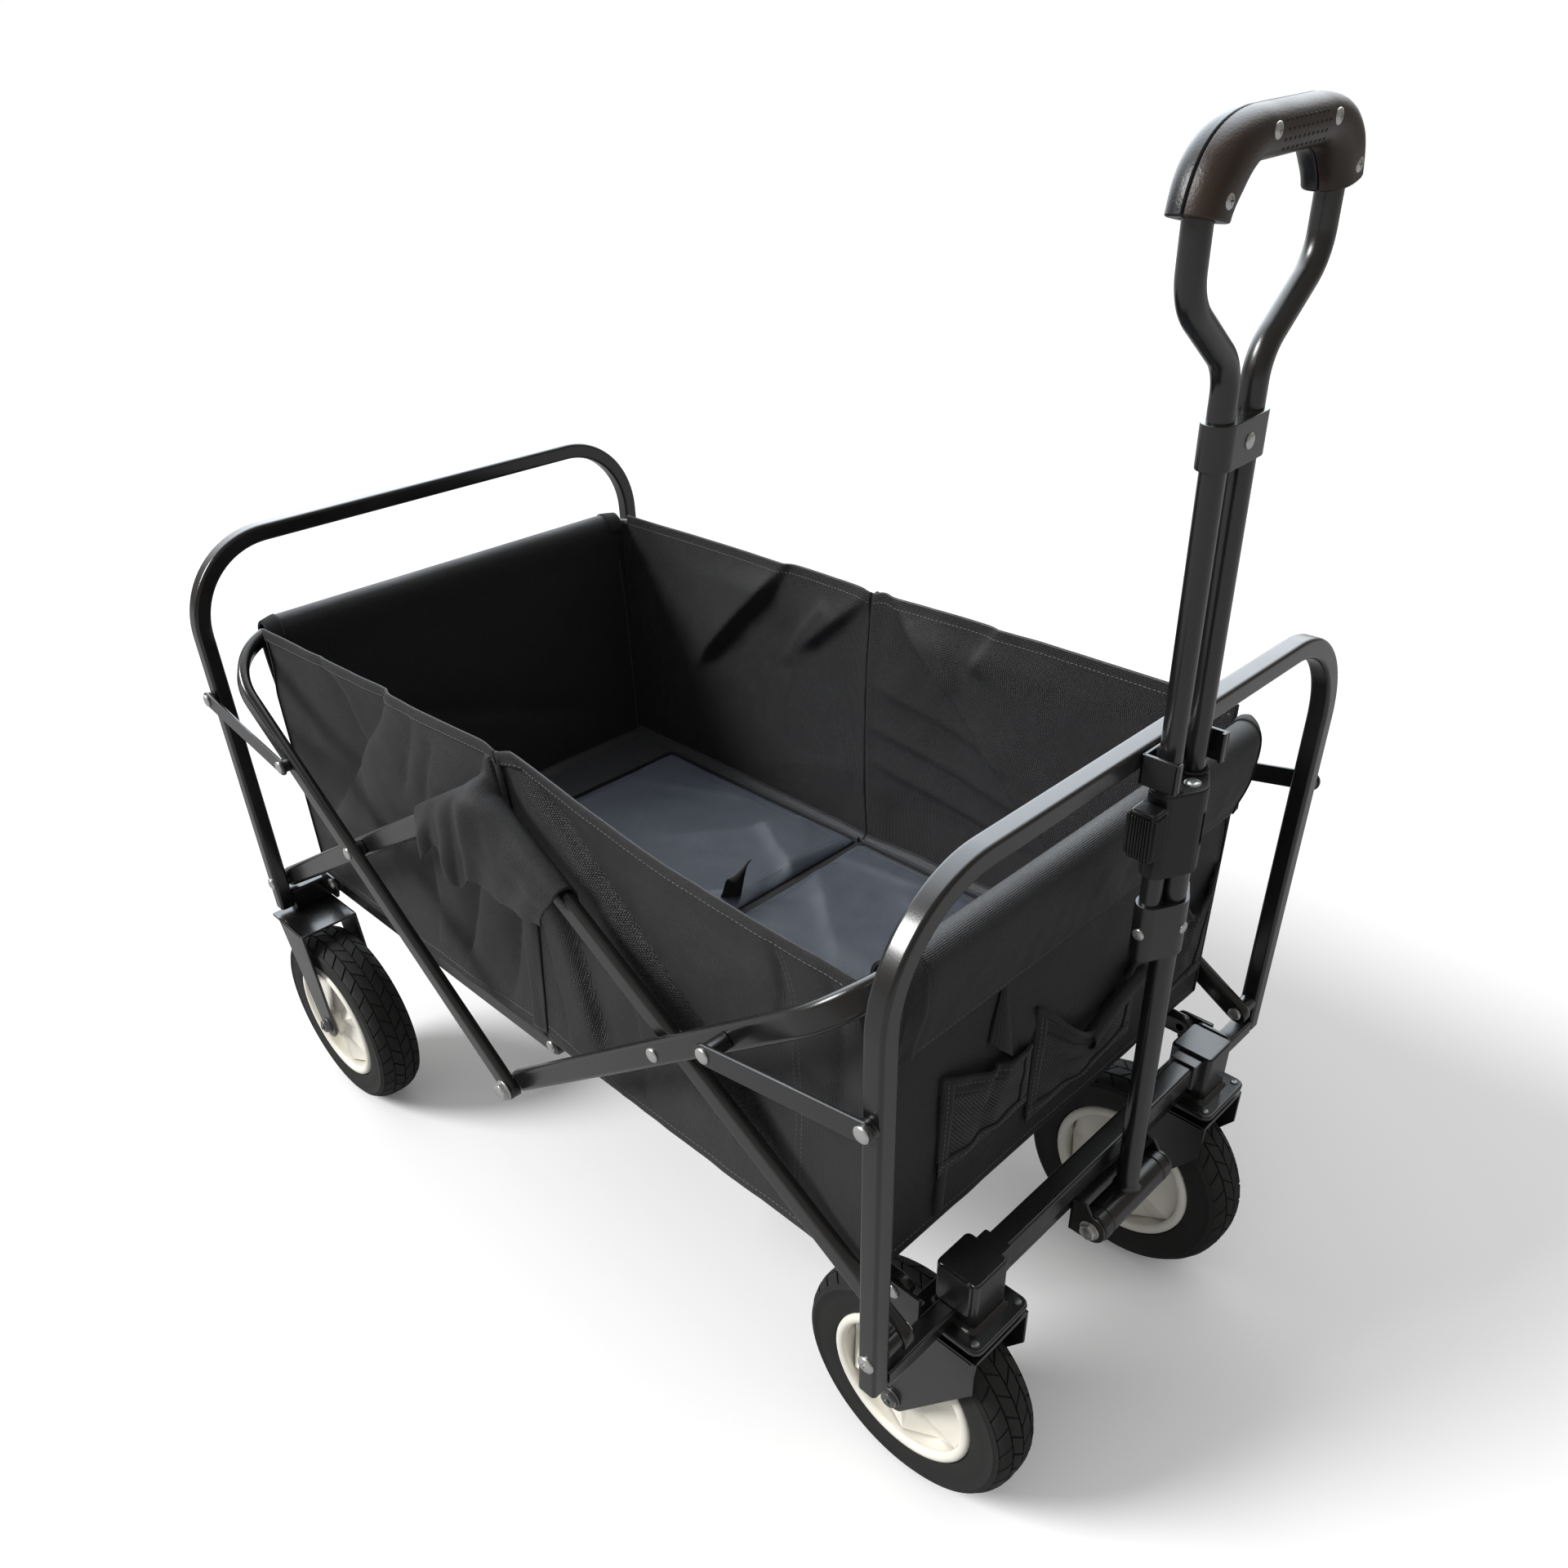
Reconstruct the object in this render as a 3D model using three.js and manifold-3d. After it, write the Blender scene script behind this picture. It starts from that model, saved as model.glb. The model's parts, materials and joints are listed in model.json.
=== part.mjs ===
// Collapsible wagon with a telescoping pull handle.
// Millimetres, +X towards the handle, +Y to the left, +Z up, ground at Z 0.
// The frame folds like a pair of scissors on each side: the two end frames come together
// while the crossed tubes stand up between them.
import * as THREE from "three";
import { mergeVertices } from "three/addons/utils/BufferGeometryUtils.js";
import Module from "manifold-3d";

const wasm = await Module();
wasm.setup();

// ---------------------------------------------------------------- driving dimensions
const clearance = 0.3; // gap kept between pieces that touch

// Wheels
const tyreRadius = 100;
const tyreWide = 46;
const rimRadius = 66;
const axleRadius = 5;
const wheelSides = 26;

// End frames, one at each end of the wagon
const halfSpan = 409; // end frame's leg to the middle of the wagon
const legY = 250; // leg centre to the centre plane
const legTube = 15; // square tube of the end frames
const legCorner = 3; // its corner radius
const legFoot = 2 * tyreRadius + 22; // height of the legs' open ends
const frameTop = legFoot + 377.5; // height of the push bar's centre line
const frameBend = 78; // bend radius of the push bar's corners

// Scissor tubes, in four layers at each side
const sideTubeTall = 20; // flat oval tube of the arms, bails and floor frame
const sideTubeWide = 10;
const legGap = 1.5; // leg to the rear arms
const layerGap = 5; // arm to the bail outside it
const armGap = 2; // rear arm to front arm
const rearArmY = legY - legTube / 2 - legGap - sideTubeWide / 2;
const frontArmY = rearArmY - armGap - sideTubeWide;
const rearBailY = rearArmY + layerGap + sideTubeWide;
const frontBailY = frontArmY + layerGap + sideTubeWide;

const lowPinZ = legFoot + 30; // arm's pivot on the leg
const topPinZ = legFoot + 276; // where the two arms meet
const midPinZ = legFoot + 4; // where the two bails meet
const bailSlope = 0.765; // rise over run of the bails
const bailReach = halfSpan - 28; // middle to the bail's cross bar
const bailBend = 60;
const pinRadius = 4;
const washerRadius = 7;
const headRadius = 6.5;
const headThick = 2.6;
const topRivet = 1.7; // how far each half of the top rivet stands out
const boltHead = 7.5;
const boltHeadThick = 6.5;
const boltWasher = 9;
const washerThick = 1.6;
const tubeEdge = 3.5; // rounding of the flat oval tubes
const bailEdge = 4;
const plateEdge = 0.8; // rounding of sheet steel

const linkPinZ = legFoot + 240; // link's pivot on the leg
const linkReach = halfSpan - 131; // middle to the link's rivet on the bail
const linkWide = 16;
const linkThick = 3;
const linkInnerY = rearBailY + sideTubeWide / 2 + layerGap; // inner face of the links

// Cloth tub
const clothThick = 3;
const wallOutset = 6.5; // outer face of an end wall, inside the bail's cross bar
const pocketThick = 3;
const tubHalfWide = frontArmY - sideTubeWide / 2 - layerGap;
const wallLow = legFoot + 40;
const sleeveInner = Math.hypot(sideTubeTall / 2, 1) + 0.65;
const sleeveOuter = sleeveInner + clothThick - 0.1;
const sleeveHalf = frontBailY - bailBend - 3;
const sideTop = legFoot + 305;
const sideTopMid = legFoot + 312;
const padThick = 21.7;

// Floor frame, in two halves that lie side by side at the middle
const rearFloorY = tubHalfWide - 14;
const frontFloorY = rearFloorY - armGap - sideTubeWide;
const floorPinX = 30; // floor frame's pivot, this far inside the legs
const floorPinZ = legFoot + 20;
const floorCross = [104, halfSpan - 59]; // cross tubes of each half, from the middle
const floorCrossTall = 14;
const floorCrossWide = 16;
const earThick = 3;
const earRound = 9;

// Cross members
const rearCrossLow = legFoot - 6.7;
const rearCrossHigh = legFoot + 18;
const crossWide = 16;
const lowerBarLow = legFoot - 2.7;
const lowerBarHigh = legFoot + 11;
const upperTubeLow = legFoot + 18;
const upperTubeHigh = legFoot + 38;
const upperTubeWide = 18;
const postWide = 36;
const postTop = legFoot + 43;

// Forks
const rearWheelY = legY - 17;
const rearAxleAhead = 58; // rear axle ahead of the rear legs
const rearPlateZ = 2 * tyreRadius + 12;
const casterY = 153;
const swivelAhead = 4; // swivel ahead of the front legs
const casterTrail = 41; // axle behind the swivel
const casterPlate = 62; // side of the square mounting plate
const casterPlateZ = 2 * tyreRadius + 14;
const casterPlateThick = 5;
const forkGap = tyreWide + 10; // between a fork's two arms
const forkThick = 3;

// Pull handle
const handlePivotAhead = 26; // handle pivot ahead of the front legs
const handlePivotY = 14;
const handlePivotZ = legFoot - 10;
const handleLean = 2.4; // degrees of side play that the handle leans by
const mainTubeRadius = 8.5;
const mainTubeBore = 7.1;
const gripTubeRadius = 7;
const gripTubeSpacing = mainTubeRadius / 2 + gripTubeRadius + 3.75; // each, from the middle
const gripTubeBehind = 7; // upper tubes behind the main tube
const sleeveRadius = 13;
const sleeveLong = 90;
const upperClamp = [308, 368]; // heights above the pivot
const lowerClamp = [243, 285];
const bandClamp = [556, 579];
const gripFlare = [583, 656];
const gripHalfWide = 70;
const gripTop = 702;
const gripCorner = 28;
const gripEnd = 668; // lower ends of the moulded grip
const gripRadius = 16.5;

// ---------------------------------------------------------------- derived places
const armSlope = (topPinZ - lowPinZ) / halfSpan;
const crossX = (topPinZ - midPinZ) / (armSlope + bailSlope);
const crossZ = midPinZ + bailSlope * crossX;
const bailAngle = Math.atan(bailSlope);
const bailLong = bailReach * Math.hypot(1, bailSlope);
const bailTopZ = midPinZ + bailSlope * bailReach;
const legFace = legTube / 2;
const frontSwivelX = halfSpan + swivelAhead;
const frontAxleX = frontSwivelX - casterTrail;
const rearAxleX = -halfSpan + rearAxleAhead;
const handleX = halfSpan + handlePivotAhead;
const floorPin = halfSpan - floorPinX;
const lean = THREE.MathUtils.degToRad(handleLean);

// ---------------------------------------------------------------- materials
const finish = (color, roughness, metalness) =>
  new THREE.MeshStandardMaterial({ color, roughness, metalness });
const blackPaint = () => finish(0x15151a, 0.32, 0.4);
const zinc = () => finish(0xb9bbbd, 0.3, 0.9);
const rubber = () => finish(0x161616, 0.85, 0);
const creamPlastic = () => finish(0xd8d5cc, 0.45, 0);
const blackPlastic = () => finish(0x1a1a1b, 0.5, 0);
const wovenCloth = () => finish(0x1c1c1f, 0.9, 0);
const coatedCloth = () => finish(0x2b3038, 0.5, 0);

// ---------------------------------------------------------------- solid helpers
function solid(geometry) {
  const bare = geometry.clone();
  bare.deleteAttribute("normal");
  bare.deleteAttribute("uv");
  const merged = mergeVertices(bare, 1e-4);
  const index = merged.index.array;
  return new wasm.Manifold(
    new wasm.Mesh({
      numProp: 3,
      vertProperties: new Float32Array(merged.attributes.position.array),
      triVerts: new Uint32Array(index),
    }),
  );
}

const join = (first, ...rest) => rest.reduce((all, piece) => all.add(piece), first);
const cut = (first, ...rest) => rest.reduce((all, piece) => all.subtract(piece), first);

function geometryOf(body) {
  const made = body.getMesh();
  const geometry = new THREE.BufferGeometry();
  geometry.setAttribute("position", new THREE.BufferAttribute(made.vertProperties, 3));
  geometry.setIndex(new THREE.BufferAttribute(made.triVerts, 1));
  geometry.computeVertexNormals();
  return geometry;
}

function box(x0, x1, y0, y1, z0, z1) {
  const geometry = new THREE.BoxGeometry(x1 - x0, y1 - y0, z1 - z0);
  return geometry.translate((x0 + x1) / 2, (y0 + y1) / 2, (z0 + z1) / 2);
}

// A round bar along Y, from y0 to y1. Six sides make a hexagon.
function pin(x, z, radius, y0, y1, sides = 10) {
  const geometry = new THREE.CylinderGeometry(radius, radius, Math.abs(y1 - y0), sides);
  return geometry.translate(x, (y0 + y1) / 2, z);
}

// A round bar along Z, from z0 to z1.
function upright(x, y, radius, z0, z1, sides = 14) {
  const geometry = new THREE.CylinderGeometry(radius, radius, z1 - z0, sides);
  return geometry.rotateX(Math.PI / 2).translate(x, y, (z0 + z1) / 2);
}

// Extrudes a shape about its own plane, with its long edges rounded.
function rounded(shape, thick, edge, curveSegments = 4, bevelSegments = 1) {
  const geometry = new THREE.ExtrudeGeometry(shape, {
    depth: thick - 2 * edge,
    bevelEnabled: edge > 0,
    bevelThickness: edge,
    bevelSize: edge,
    bevelOffset: -edge,
    bevelSegments,
    curveSegments,
  });
  return geometry.translate(0, 0, -(thick / 2 - edge));
}

// A shape drawn in X and Z becomes a plate between two values of Y.
function sidePlate(shape, y0, y1, edge = 0, curveSegments = 4) {
  const plate = rounded(shape, Math.abs(y1 - y0), edge, curveSegments);
  return plate.rotateX(Math.PI / 2).translate(0, (y0 + y1) / 2, 0);
}


// The outline of a bar from a to b with half-round ends.
function barShape(a, b, wide) {
  const turn = Math.atan2(b[1] - a[1], b[0] - a[0]);
  const shape = new THREE.Shape();
  shape.absarc(a[0], a[1], wide / 2, turn + Math.PI / 2, turn + 1.5 * Math.PI, false);
  shape.absarc(b[0], b[1], wide / 2, turn - Math.PI / 2, turn + Math.PI / 2, false);
  shape.closePath();
  return shape;
}

// The outline of a U: arms along the first axis from start to length, joined by a bar there.
function bowShape(half, armAt, start, length, bend) {
  const shape = new THREE.Shape();
  const outer = armAt + half;
  const inner = armAt - half;
  const middle = [length - bend, armAt - bend];
  shape.moveTo(start, -outer);
  shape.lineTo(middle[0], -outer);
  shape.absarc(middle[0], -middle[1], bend + half, -Math.PI / 2, 0, false);
  shape.absarc(middle[0], middle[1], bend + half, 0, Math.PI / 2, false);
  shape.lineTo(start, outer);
  shape.lineTo(start, inner);
  shape.absarc(middle[0], middle[1], bend - half, Math.PI / 2, 0, true);
  shape.absarc(middle[0], -middle[1], bend - half, 0, -Math.PI / 2, true);
  shape.lineTo(start, -inner);
  shape.closePath();
  return shape;
}

// Lays a U flat in the plane of Y and a direction that rises by an angle above +X or -X.
function bow(shape, thick, edge, angle) {
  const along = new THREE.Vector3(Math.cos(angle), 0, Math.sin(angle));
  const across = new THREE.Vector3(0, 1, 0);
  const turn = new THREE.Matrix4().makeBasis(along, across, along.clone().cross(across));
  return rounded(shape, thick, edge).applyMatrix4(turn);
}

// A shape turned about the wheel's axle.
function turned(profile, sides) {
  const points = profile.map(([r, y]) => new THREE.Vector2(r, y));
  points.push(points[0].clone());
  return new THREE.LatheGeometry(points, sides);
}

// A round tube along a curve, with the same number of steps between each two points.
function tube(points, radius, sides = 8) {
  const path = new THREE.CatmullRomCurve3(points.map((p) => new THREE.Vector3(...p)));
  path.getUtoTmapping = (u) => u;
  const section = [];
  for (let i = 0; i < sides; i++) {
    const turn = (2 * Math.PI * i) / sides;
    section.push(new THREE.Vector2(radius * Math.cos(turn), radius * Math.sin(turn)));
  }
  return new THREE.ExtrudeGeometry(new THREE.Shape(section), {
    steps: 2 * (points.length - 1), extrudePath: path, bevelEnabled: false,
  });
}

const wagon = new THREE.Group();
// The origin is on the ground, midway between the two axles.
wagon.position.x = -(rearAxleX + frontAxleX) / 2;

function add(name, shape, material, parent = wagon) {
  const geometry = shape instanceof THREE.BufferGeometry ? shape : geometryOf(shape);
  const mesh = new THREE.Mesh(geometry, material);
  mesh.name = name;
  parent.add(mesh);
  return mesh;
}

const sides = [["left", 1], ["right", -1]];
const ends = [["rear", -1], ["front", 1]];

// A screw or rivet head that stands out of a face at y. Out is 1 or -1.
const head = (x, z, y, out) => solid(pin(x, z, headRadius, y - out, y + out * headThick));

// ---------------------------------------------------------------- end frames
// Each is one bent tube. A screw through each leg carries the scissor arm, and a rivet
// higher up carries the link.
function endFrame(end) {
  const shape = bowShape(legFace, legY, legFoot, frameTop, frameBend);
  const x = end * halfSpan;
  const armY = end < 0 ? rearArmY : frontArmY;
  const armOuter = armY + sideTubeWide / 2 + clearance;
  const armInner = armY - sideTubeWide / 2 - clearance;
  const linkOuter = linkInnerY + linkThick + clearance;
  let frame = solid(bow(shape, legTube, legCorner, Math.PI / 2).translate(x, 0, 0));
  for (const [, side] of sides) {
    frame = join(
      frame,
      head(x, lowPinZ, side * (legY + legFace), side),
      solid(pin(x, lowPinZ, washerRadius, side * legY, side * armOuter)),
      solid(pin(x, lowPinZ, pinRadius, side * legY, side * (armInner - 1))),
      solid(pin(x, lowPinZ, headRadius, side * armInner, side * (armInner - headThick))),
      solid(pin(x, linkPinZ, washerRadius, side * legY, side * (linkInnerY - clearance))),
      solid(pin(x, linkPinZ, pinRadius, side * legY, side * (linkOuter + 1))),
      solid(pin(x, linkPinZ, headRadius, side * linkOuter, side * (linkOuter + headThick))),
    );
  }
  return frame;
}

// ---------------------------------------------------------------- scissor tubes
function pinHole(x, z, y) {
  return solid(pin(x, z, pinRadius + clearance, y - sideTubeWide, y + sideTubeWide));
}

// An arm runs from the leg's screw up to the middle of the wagon's top edge.
function arm(end, side) {
  const y = side * (end < 0 ? rearArmY : frontArmY);
  const half = sideTubeWide / 2;
  const shape = barShape([end * halfSpan, lowPinZ], [0, topPinZ], sideTubeTall);
  // Each arm carries its own half of the rivet where they meet.
  const out = end < 0 ? side : -side;
  return join(
    cut(
      solid(sidePlate(shape, y - half, y + half, tubeEdge)),
      pinHole(end * halfSpan, lowPinZ, y),
      pinHole(end * crossX, crossZ, y),
    ),
    solid(pin(0, topPinZ, headRadius, y + out * (half - 1), y + out * (half + topRivet))),
  );
}

// A bail is one U-shaped tube. Its cross bar carries the end wall of the tub.
function bail(end) {
  const y = end < 0 ? rearBailY : frontBailY;
  const armY = end < 0 ? rearArmY : frontArmY;
  const half = sideTubeWide / 2;
  const angle = end < 0 ? Math.PI - bailAngle : bailAngle;
  const shape = bowShape(half, y, -sideTubeTall / 2, bailLong, bailBend);
  let piece = solid(bow(shape, sideTubeTall, bailEdge, angle).translate(0, 0, midPinZ));
  for (const [, side] of sides) {
    const armOuter = side * (armY + half + clearance);
    const armInner = side * (armY - half - clearance);
    piece = join(
      cut(piece, pinHole(0, midPinZ, side * y)),
      head(end * crossX, crossZ, side * (y + half), side),
      solid(pin(end * crossX, crossZ, pinRadius, side * y, armInner - side)),
      solid(pin(end * crossX, crossZ, washerRadius, side * y, armOuter)),
      solid(pin(end * crossX, crossZ, headRadius, armInner, armInner - side * headThick)),
    );
  }
  return piece;
}

// The bolt that joins the two bails at the bottom of the scissors.
function bailBolt(side) {
  const outer = side * (rearBailY + sideTubeWide / 2 + clearance);
  const inner = side * (frontBailY - sideTubeWide / 2 - clearance);
  return join(
    solid(pin(0, midPinZ, pinRadius, outer + side, inner - side)),
    solid(pin(0, midPinZ, boltWasher, outer, outer + side * washerThick)),
    solid(pin(0, midPinZ, boltHead, outer + side, outer + side * boltHeadThick, 6)),
    solid(pin(0, midPinZ, boltHead, inner, inner - side * boltHeadThick, 6)),
  );
}

// A link steadies the end frame from the bail. Its rivet rides on the bail's outer face.
function link(end, side) {
  const bailFace = (end < 0 ? rearBailY : frontBailY) + sideTubeWide / 2 + clearance;
  const x = end * linkReach;
  const z = midPinZ + bailSlope * linkReach;
  const outer = linkInnerY + linkThick;
  const shape = barShape([end * halfSpan, linkPinZ], [x, z], linkWide);
  return join(
    cut(
      solid(sidePlate(shape, side * linkInnerY, side * outer, plateEdge)),
      pinHole(end * halfSpan, linkPinZ, side * linkInnerY),
    ),
    solid(pin(x, z, washerRadius, side * bailFace, side * (linkInnerY + 1))),
    head(x, z, side * outer, side),
  );
}

// ---------------------------------------------------------------- floor frame
// Each half is two side tubes and two cross tubes. The halves lie side by side at the middle.
function floorFrame(end) {
  const y = end < 0 ? rearFloorY : frontFloorY;
  const half = sideTubeWide / 2;
  const shape = barShape([end * floorPin, floorPinZ], [0, floorPinZ], sideTubeTall);
  const pieces = [];
  for (const [, side] of sides) {
    // The bolt heads at the middle stand out on the sides that face away from the other half.
    const out = end < 0 ? side : -side;
    pieces.push(
      cut(
        solid(sidePlate(shape, side * y - half, side * y + half, tubeEdge)),
        pinHole(end * floorPin, floorPinZ, side * y),
      ),
      head(0, floorPinZ, side * y + out * half, out),
    );
  }
  for (const cross of floorCross) {
    const x0 = end * cross - floorCrossWide / 2;
    const low = floorPinZ - floorCrossTall / 2;
    pieces.push(solid(box(x0, x0 + floorCrossWide, -y, y, low, low + floorCrossTall)));
  }
  return join(...pieces);
}

// The ears that carry the floor frame, on a cross member whose inner face is at faceX.
function floorEars(end, faceX, low) {
  const half = sideTubeWide / 2;
  const y = end < 0 ? rearFloorY : frontFloorY;
  const near = y + half + clearance;
  const x = end * floorPin;
  const reach = [x - end * earRound, faceX + end].sort((a, b) => a - b);
  return sides.flatMap(([, side]) => {
    const width = [side * near, side * (near + earThick)].sort((a, b) => a - b);
    return [
      solid(box(...reach, ...width, low, floorPinZ + earRound)),
      solid(pin(x, floorPinZ, pinRadius, side * (near + 1), side * (y - half))),
      head(x, floorPinZ, side * (near + earThick), side),
    ];
  });
}

// ---------------------------------------------------------------- cross members
function rearCross() {
  const faceX = -halfSpan + crossWide / 2;
  const long = legY - legFace - clearance;
  const shape = new THREE.Shape();
  shape.moveTo(-halfSpan - crossWide / 2, rearCrossLow);
  shape.lineTo(faceX, rearCrossLow);
  shape.lineTo(faceX, rearCrossHigh);
  shape.lineTo(-halfSpan - crossWide / 2, rearCrossHigh);
  shape.closePath();
  const low = rearCrossLow + 10;
  return join(solid(sidePlate(shape, -long, long, 1.5)), ...floorEars(-1, faceX, low));
}

function lowerBar() {
  const x0 = halfSpan - legFace;
  const x1 = halfSpan + legFace;
  const long = legY - legFace - clearance;
  return join(
    solid(box(x0, x1, -long, long, lowerBarLow, lowerBarHigh)),
    ...floorEars(1, x0, lowerBarLow),
  );
}

function upperTube() {
  const half = upperTubeWide / 2;
  const long = casterY - postWide / 2 + 12;
  return box(
    frontSwivelX - half, frontSwivelX + half, -long, long, upperTubeLow, upperTubeHigh,
  );
}

// The post stands on the caster plate and takes both cross tubes through its walls.
function casterMount(side) {
  const y = side * casterY;
  const half = postWide / 2;
  const plateTop = casterPlateZ + casterPlateThick;
  const plate = new THREE.Shape();
  const reach = casterPlate / 2;
  const corner = 8;
  const corners = [
    [reach - corner, reach - corner, 0],
    [corner - reach, reach - corner, 1],
    [corner - reach, corner - reach, 2],
    [reach - corner, corner - reach, 3],
  ];
  for (const [cx, cy, turn] of corners) {
    const from = (turn * Math.PI) / 2;
    plate.absarc(frontSwivelX + cx, y + cy, corner, from, from + Math.PI / 2, false);
  }
  plate.closePath();
  const slab = rounded(plate, casterPlateThick, 0.8, 4)
    .translate(0, 0, casterPlateZ + casterPlateThick / 2);
  const gap = clearance;
  const tubeHalf = upperTubeWide / 2 + gap;
  const x = frontSwivelX;
  const barX0 = halfSpan - legFace - gap;
  const barX1 = halfSpan + legFace + gap;
  const inward = y - side * half;
  const socket = [inward - side * 2, inward + side * (12 + gap)].sort((a, b) => a - b);
  return join(
    cut(
      solid(box(x - half, x + half, y - half, y + half, plateTop - 1, postTop)),
      solid(box(barX0, barX1, y - 40, y + 40, plateTop, lowerBarHigh + gap)),
      solid(
        box(x - tubeHalf, x + tubeHalf, ...socket, upperTubeLow - gap, upperTubeHigh + gap),
      ),
    ),
    solid(slab),
    solid(upright(x, y, 6, casterPlateZ - 11, casterPlateZ + 1)),
    solid(upright(x, y, 10, casterPlateZ - 15, casterPlateZ - 10 - gap, 6)),
  );
}

// ---------------------------------------------------------------- forks and wheels
function axleHole(x, y) {
  return solid(pin(x, tyreRadius, axleRadius + clearance, y - 40, y + 40));
}

function forkArm(shape, y0, y1) {
  return solid(sidePlate(shape, y0, y1, 0.8));
}

function rearFork(side) {
  const y = side * rearWheelY;
  const x = rearAxleX;
  const top = rearPlateZ + 3;
  const back = -halfSpan - crossWide / 2;
  const shape = new THREE.Shape();
  shape.moveTo(back + 14, top);
  shape.lineTo(x - 15, tyreRadius);
  shape.absarc(x, tyreRadius, 15, Math.PI, 2 * Math.PI, false);
  shape.lineTo(x - 1, top);
  shape.closePath();
  const inner = y - forkGap / 2;
  const outer = y + forkGap / 2;
  return cut(
    join(
      solid(box(back, x - 1, inner - forkThick, outer + forkThick, rearPlateZ, top)),
      forkArm(shape, inner - forkThick, inner),
      forkArm(shape, outer, outer + forkThick),
    ),
    axleHole(x, y),
  );
}

function casterFork(side) {
  const y = side * casterY;
  const x = frontSwivelX;
  const top = casterPlateZ - 6;
  const shape = new THREE.Shape();
  shape.moveTo(x + 30, top);
  shape.lineTo(x - 28, top);
  shape.lineTo(frontAxleX - 14, tyreRadius + 4);
  shape.absarc(frontAxleX, tyreRadius, 14, Math.PI * 0.92, Math.PI * 1.7, false);
  shape.lineTo(x + 30, top - 34);
  shape.closePath();
  const inner = y - forkGap / 2;
  const outer = y + forkGap / 2;
  return cut(
    join(
      solid(box(x - 28, x + 30, inner - forkThick, outer + forkThick, top - 4, top)),
      solid(upright(x, y, 25, top - 1, casterPlateZ - clearance, 16)),
      forkArm(shape, inner - forkThick, inner),
      forkArm(shape, outer, outer + forkThick),
    ),
    axleHole(frontAxleX, y),
    solid(upright(x, y, 6 + clearance, top - 10, casterPlateZ + 5)),
  );
}

function axleBolt(x, y) {
  const reach = forkGap / 2 + forkThick + clearance;
  return join(
    solid(pin(x, tyreRadius, axleRadius, y - reach - 1, y + reach + 1)),
    solid(pin(x, tyreRadius, 9, y - reach - 6.5, y - reach, 6)),
    solid(pin(x, tyreRadius, 9, y + reach, y + reach + 6.5, 6)),
  );
}

function hub() {
  const half = tyreWide / 2;
  const bore = axleRadius + clearance;
  const boss = 27.6;
  return turned(
    [
      [bore, -boss], [14, -boss], [17, -8], [57, -5],
      [rimRadius - clearance, -half + 2], [rimRadius - clearance, half - 2],
      [57, 5], [17, 8], [14, boss], [bore, boss],
    ],
    wheelSides,
  );
}

function tyre() {
  const half = tyreWide / 2;
  return turned(
    [
      [rimRadius, -half + 3], [82, -half], [96, -half + 6], [tyreRadius, -half + 13],
      [tyreRadius, half - 13], [96, half - 6], [82, half], [rimRadius, half - 3],
    ],
    wheelSides,
  );
}

// ---------------------------------------------------------------- pull handle
// The handle's own frame has its origin at the pivot and rises along its own Z.
const legPlaces = [-gripTubeSpacing, gripTubeSpacing].map((y) => [-gripTubeBehind, y]);

function leaned(body) {
  const turn = new THREE.Matrix4().makeRotationX(lean);
  return solid(geometryOf(body).applyMatrix4(turn));
}

function mainTube() {
  const stem = cut(
    solid(upright(0, 0, mainTubeRadius, 0, upperClamp[1] - 6)),
    solid(upright(0, 0, mainTubeBore, 40, upperClamp[1])),
  );
  const sleeve = solid(pin(0, 0, sleeveRadius, -sleeveLong / 2, sleeveLong / 2, 18));
  const bore = solid(pin(0, 0, axleRadius + clearance, -sleeveLong, sleeveLong));
  return cut(join(leaned(stem), sleeve), bore);
}

function clampBody(z0, z1, legRadius, stemRadius, wall) {
  const blocks = legPlaces.map(([x, y]) => solid(upright(x, y, gripTubeRadius + wall, z0, z1)));
  const nose = solid(upright(0, 0, mainTubeRadius + wall, z0, z1));
  const web = box(
    -gripTubeBehind - gripTubeRadius - wall, 0, -gripTubeSpacing, gripTubeSpacing, z0, z1,
  );
  return cut(
    join(nose, ...blocks, solid(web)),
    ...legPlaces.map(([x, y]) => solid(upright(x, y, legRadius, z0 - 1, z1 + 1))),
    solid(upright(0, 0, stemRadius, z0 - 1, z1 + 1)),
  );
}

function fixedClamp() {
  const [z0, z1] = upperClamp;
  const wall = 3;
  const stemHole = mainTubeRadius + clearance;
  const legHole = gripTubeRadius + clearance;
  const keyZ = (z0 + z1) / 2 + 8;
  const reach = gripTubeSpacing + gripTubeRadius + wall;
  return cut(
    clampBody(z0, z1, legHole, stemHole, wall),
    solid(pin(-gripTubeBehind, keyZ, 3 + clearance, -reach - 2, -gripTubeSpacing)),
  );
}

// The ribbed key on the clamp's near side pulls the lock pin.
function releaseKey() {
  const keyZ = (upperClamp[0] + upperClamp[1]) / 2 + 8;
  const face = gripTubeSpacing + gripTubeRadius + 3;
  const x = -gripTubeBehind;
  const near = -face - clearance;
  const stemEnd = -gripTubeSpacing - gripTubeRadius - 1.5 * clearance;
  let key = join(
    solid(box(x - 9, x + 9, near - 15, near, keyZ - 17, keyZ + 17)),
    solid(pin(x, keyZ, 3, near - 1, stemEnd)),
  );
  for (let rib = -2; rib <= 2; rib++) {
    const z = keyZ + rib * 6.4;
    key = join(key, solid(box(x - 9, x + 9, near - 17, near - 14, z - 1.6, z + 1.6)));
  }
  return key;
}

function slidingClamp() {
  const [z0, z1] = lowerClamp;
  const wall = 2.2;
  return clampBody(z0, z1, gripTubeRadius + clearance, mainTubeRadius + 0.6, wall);
}

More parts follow.
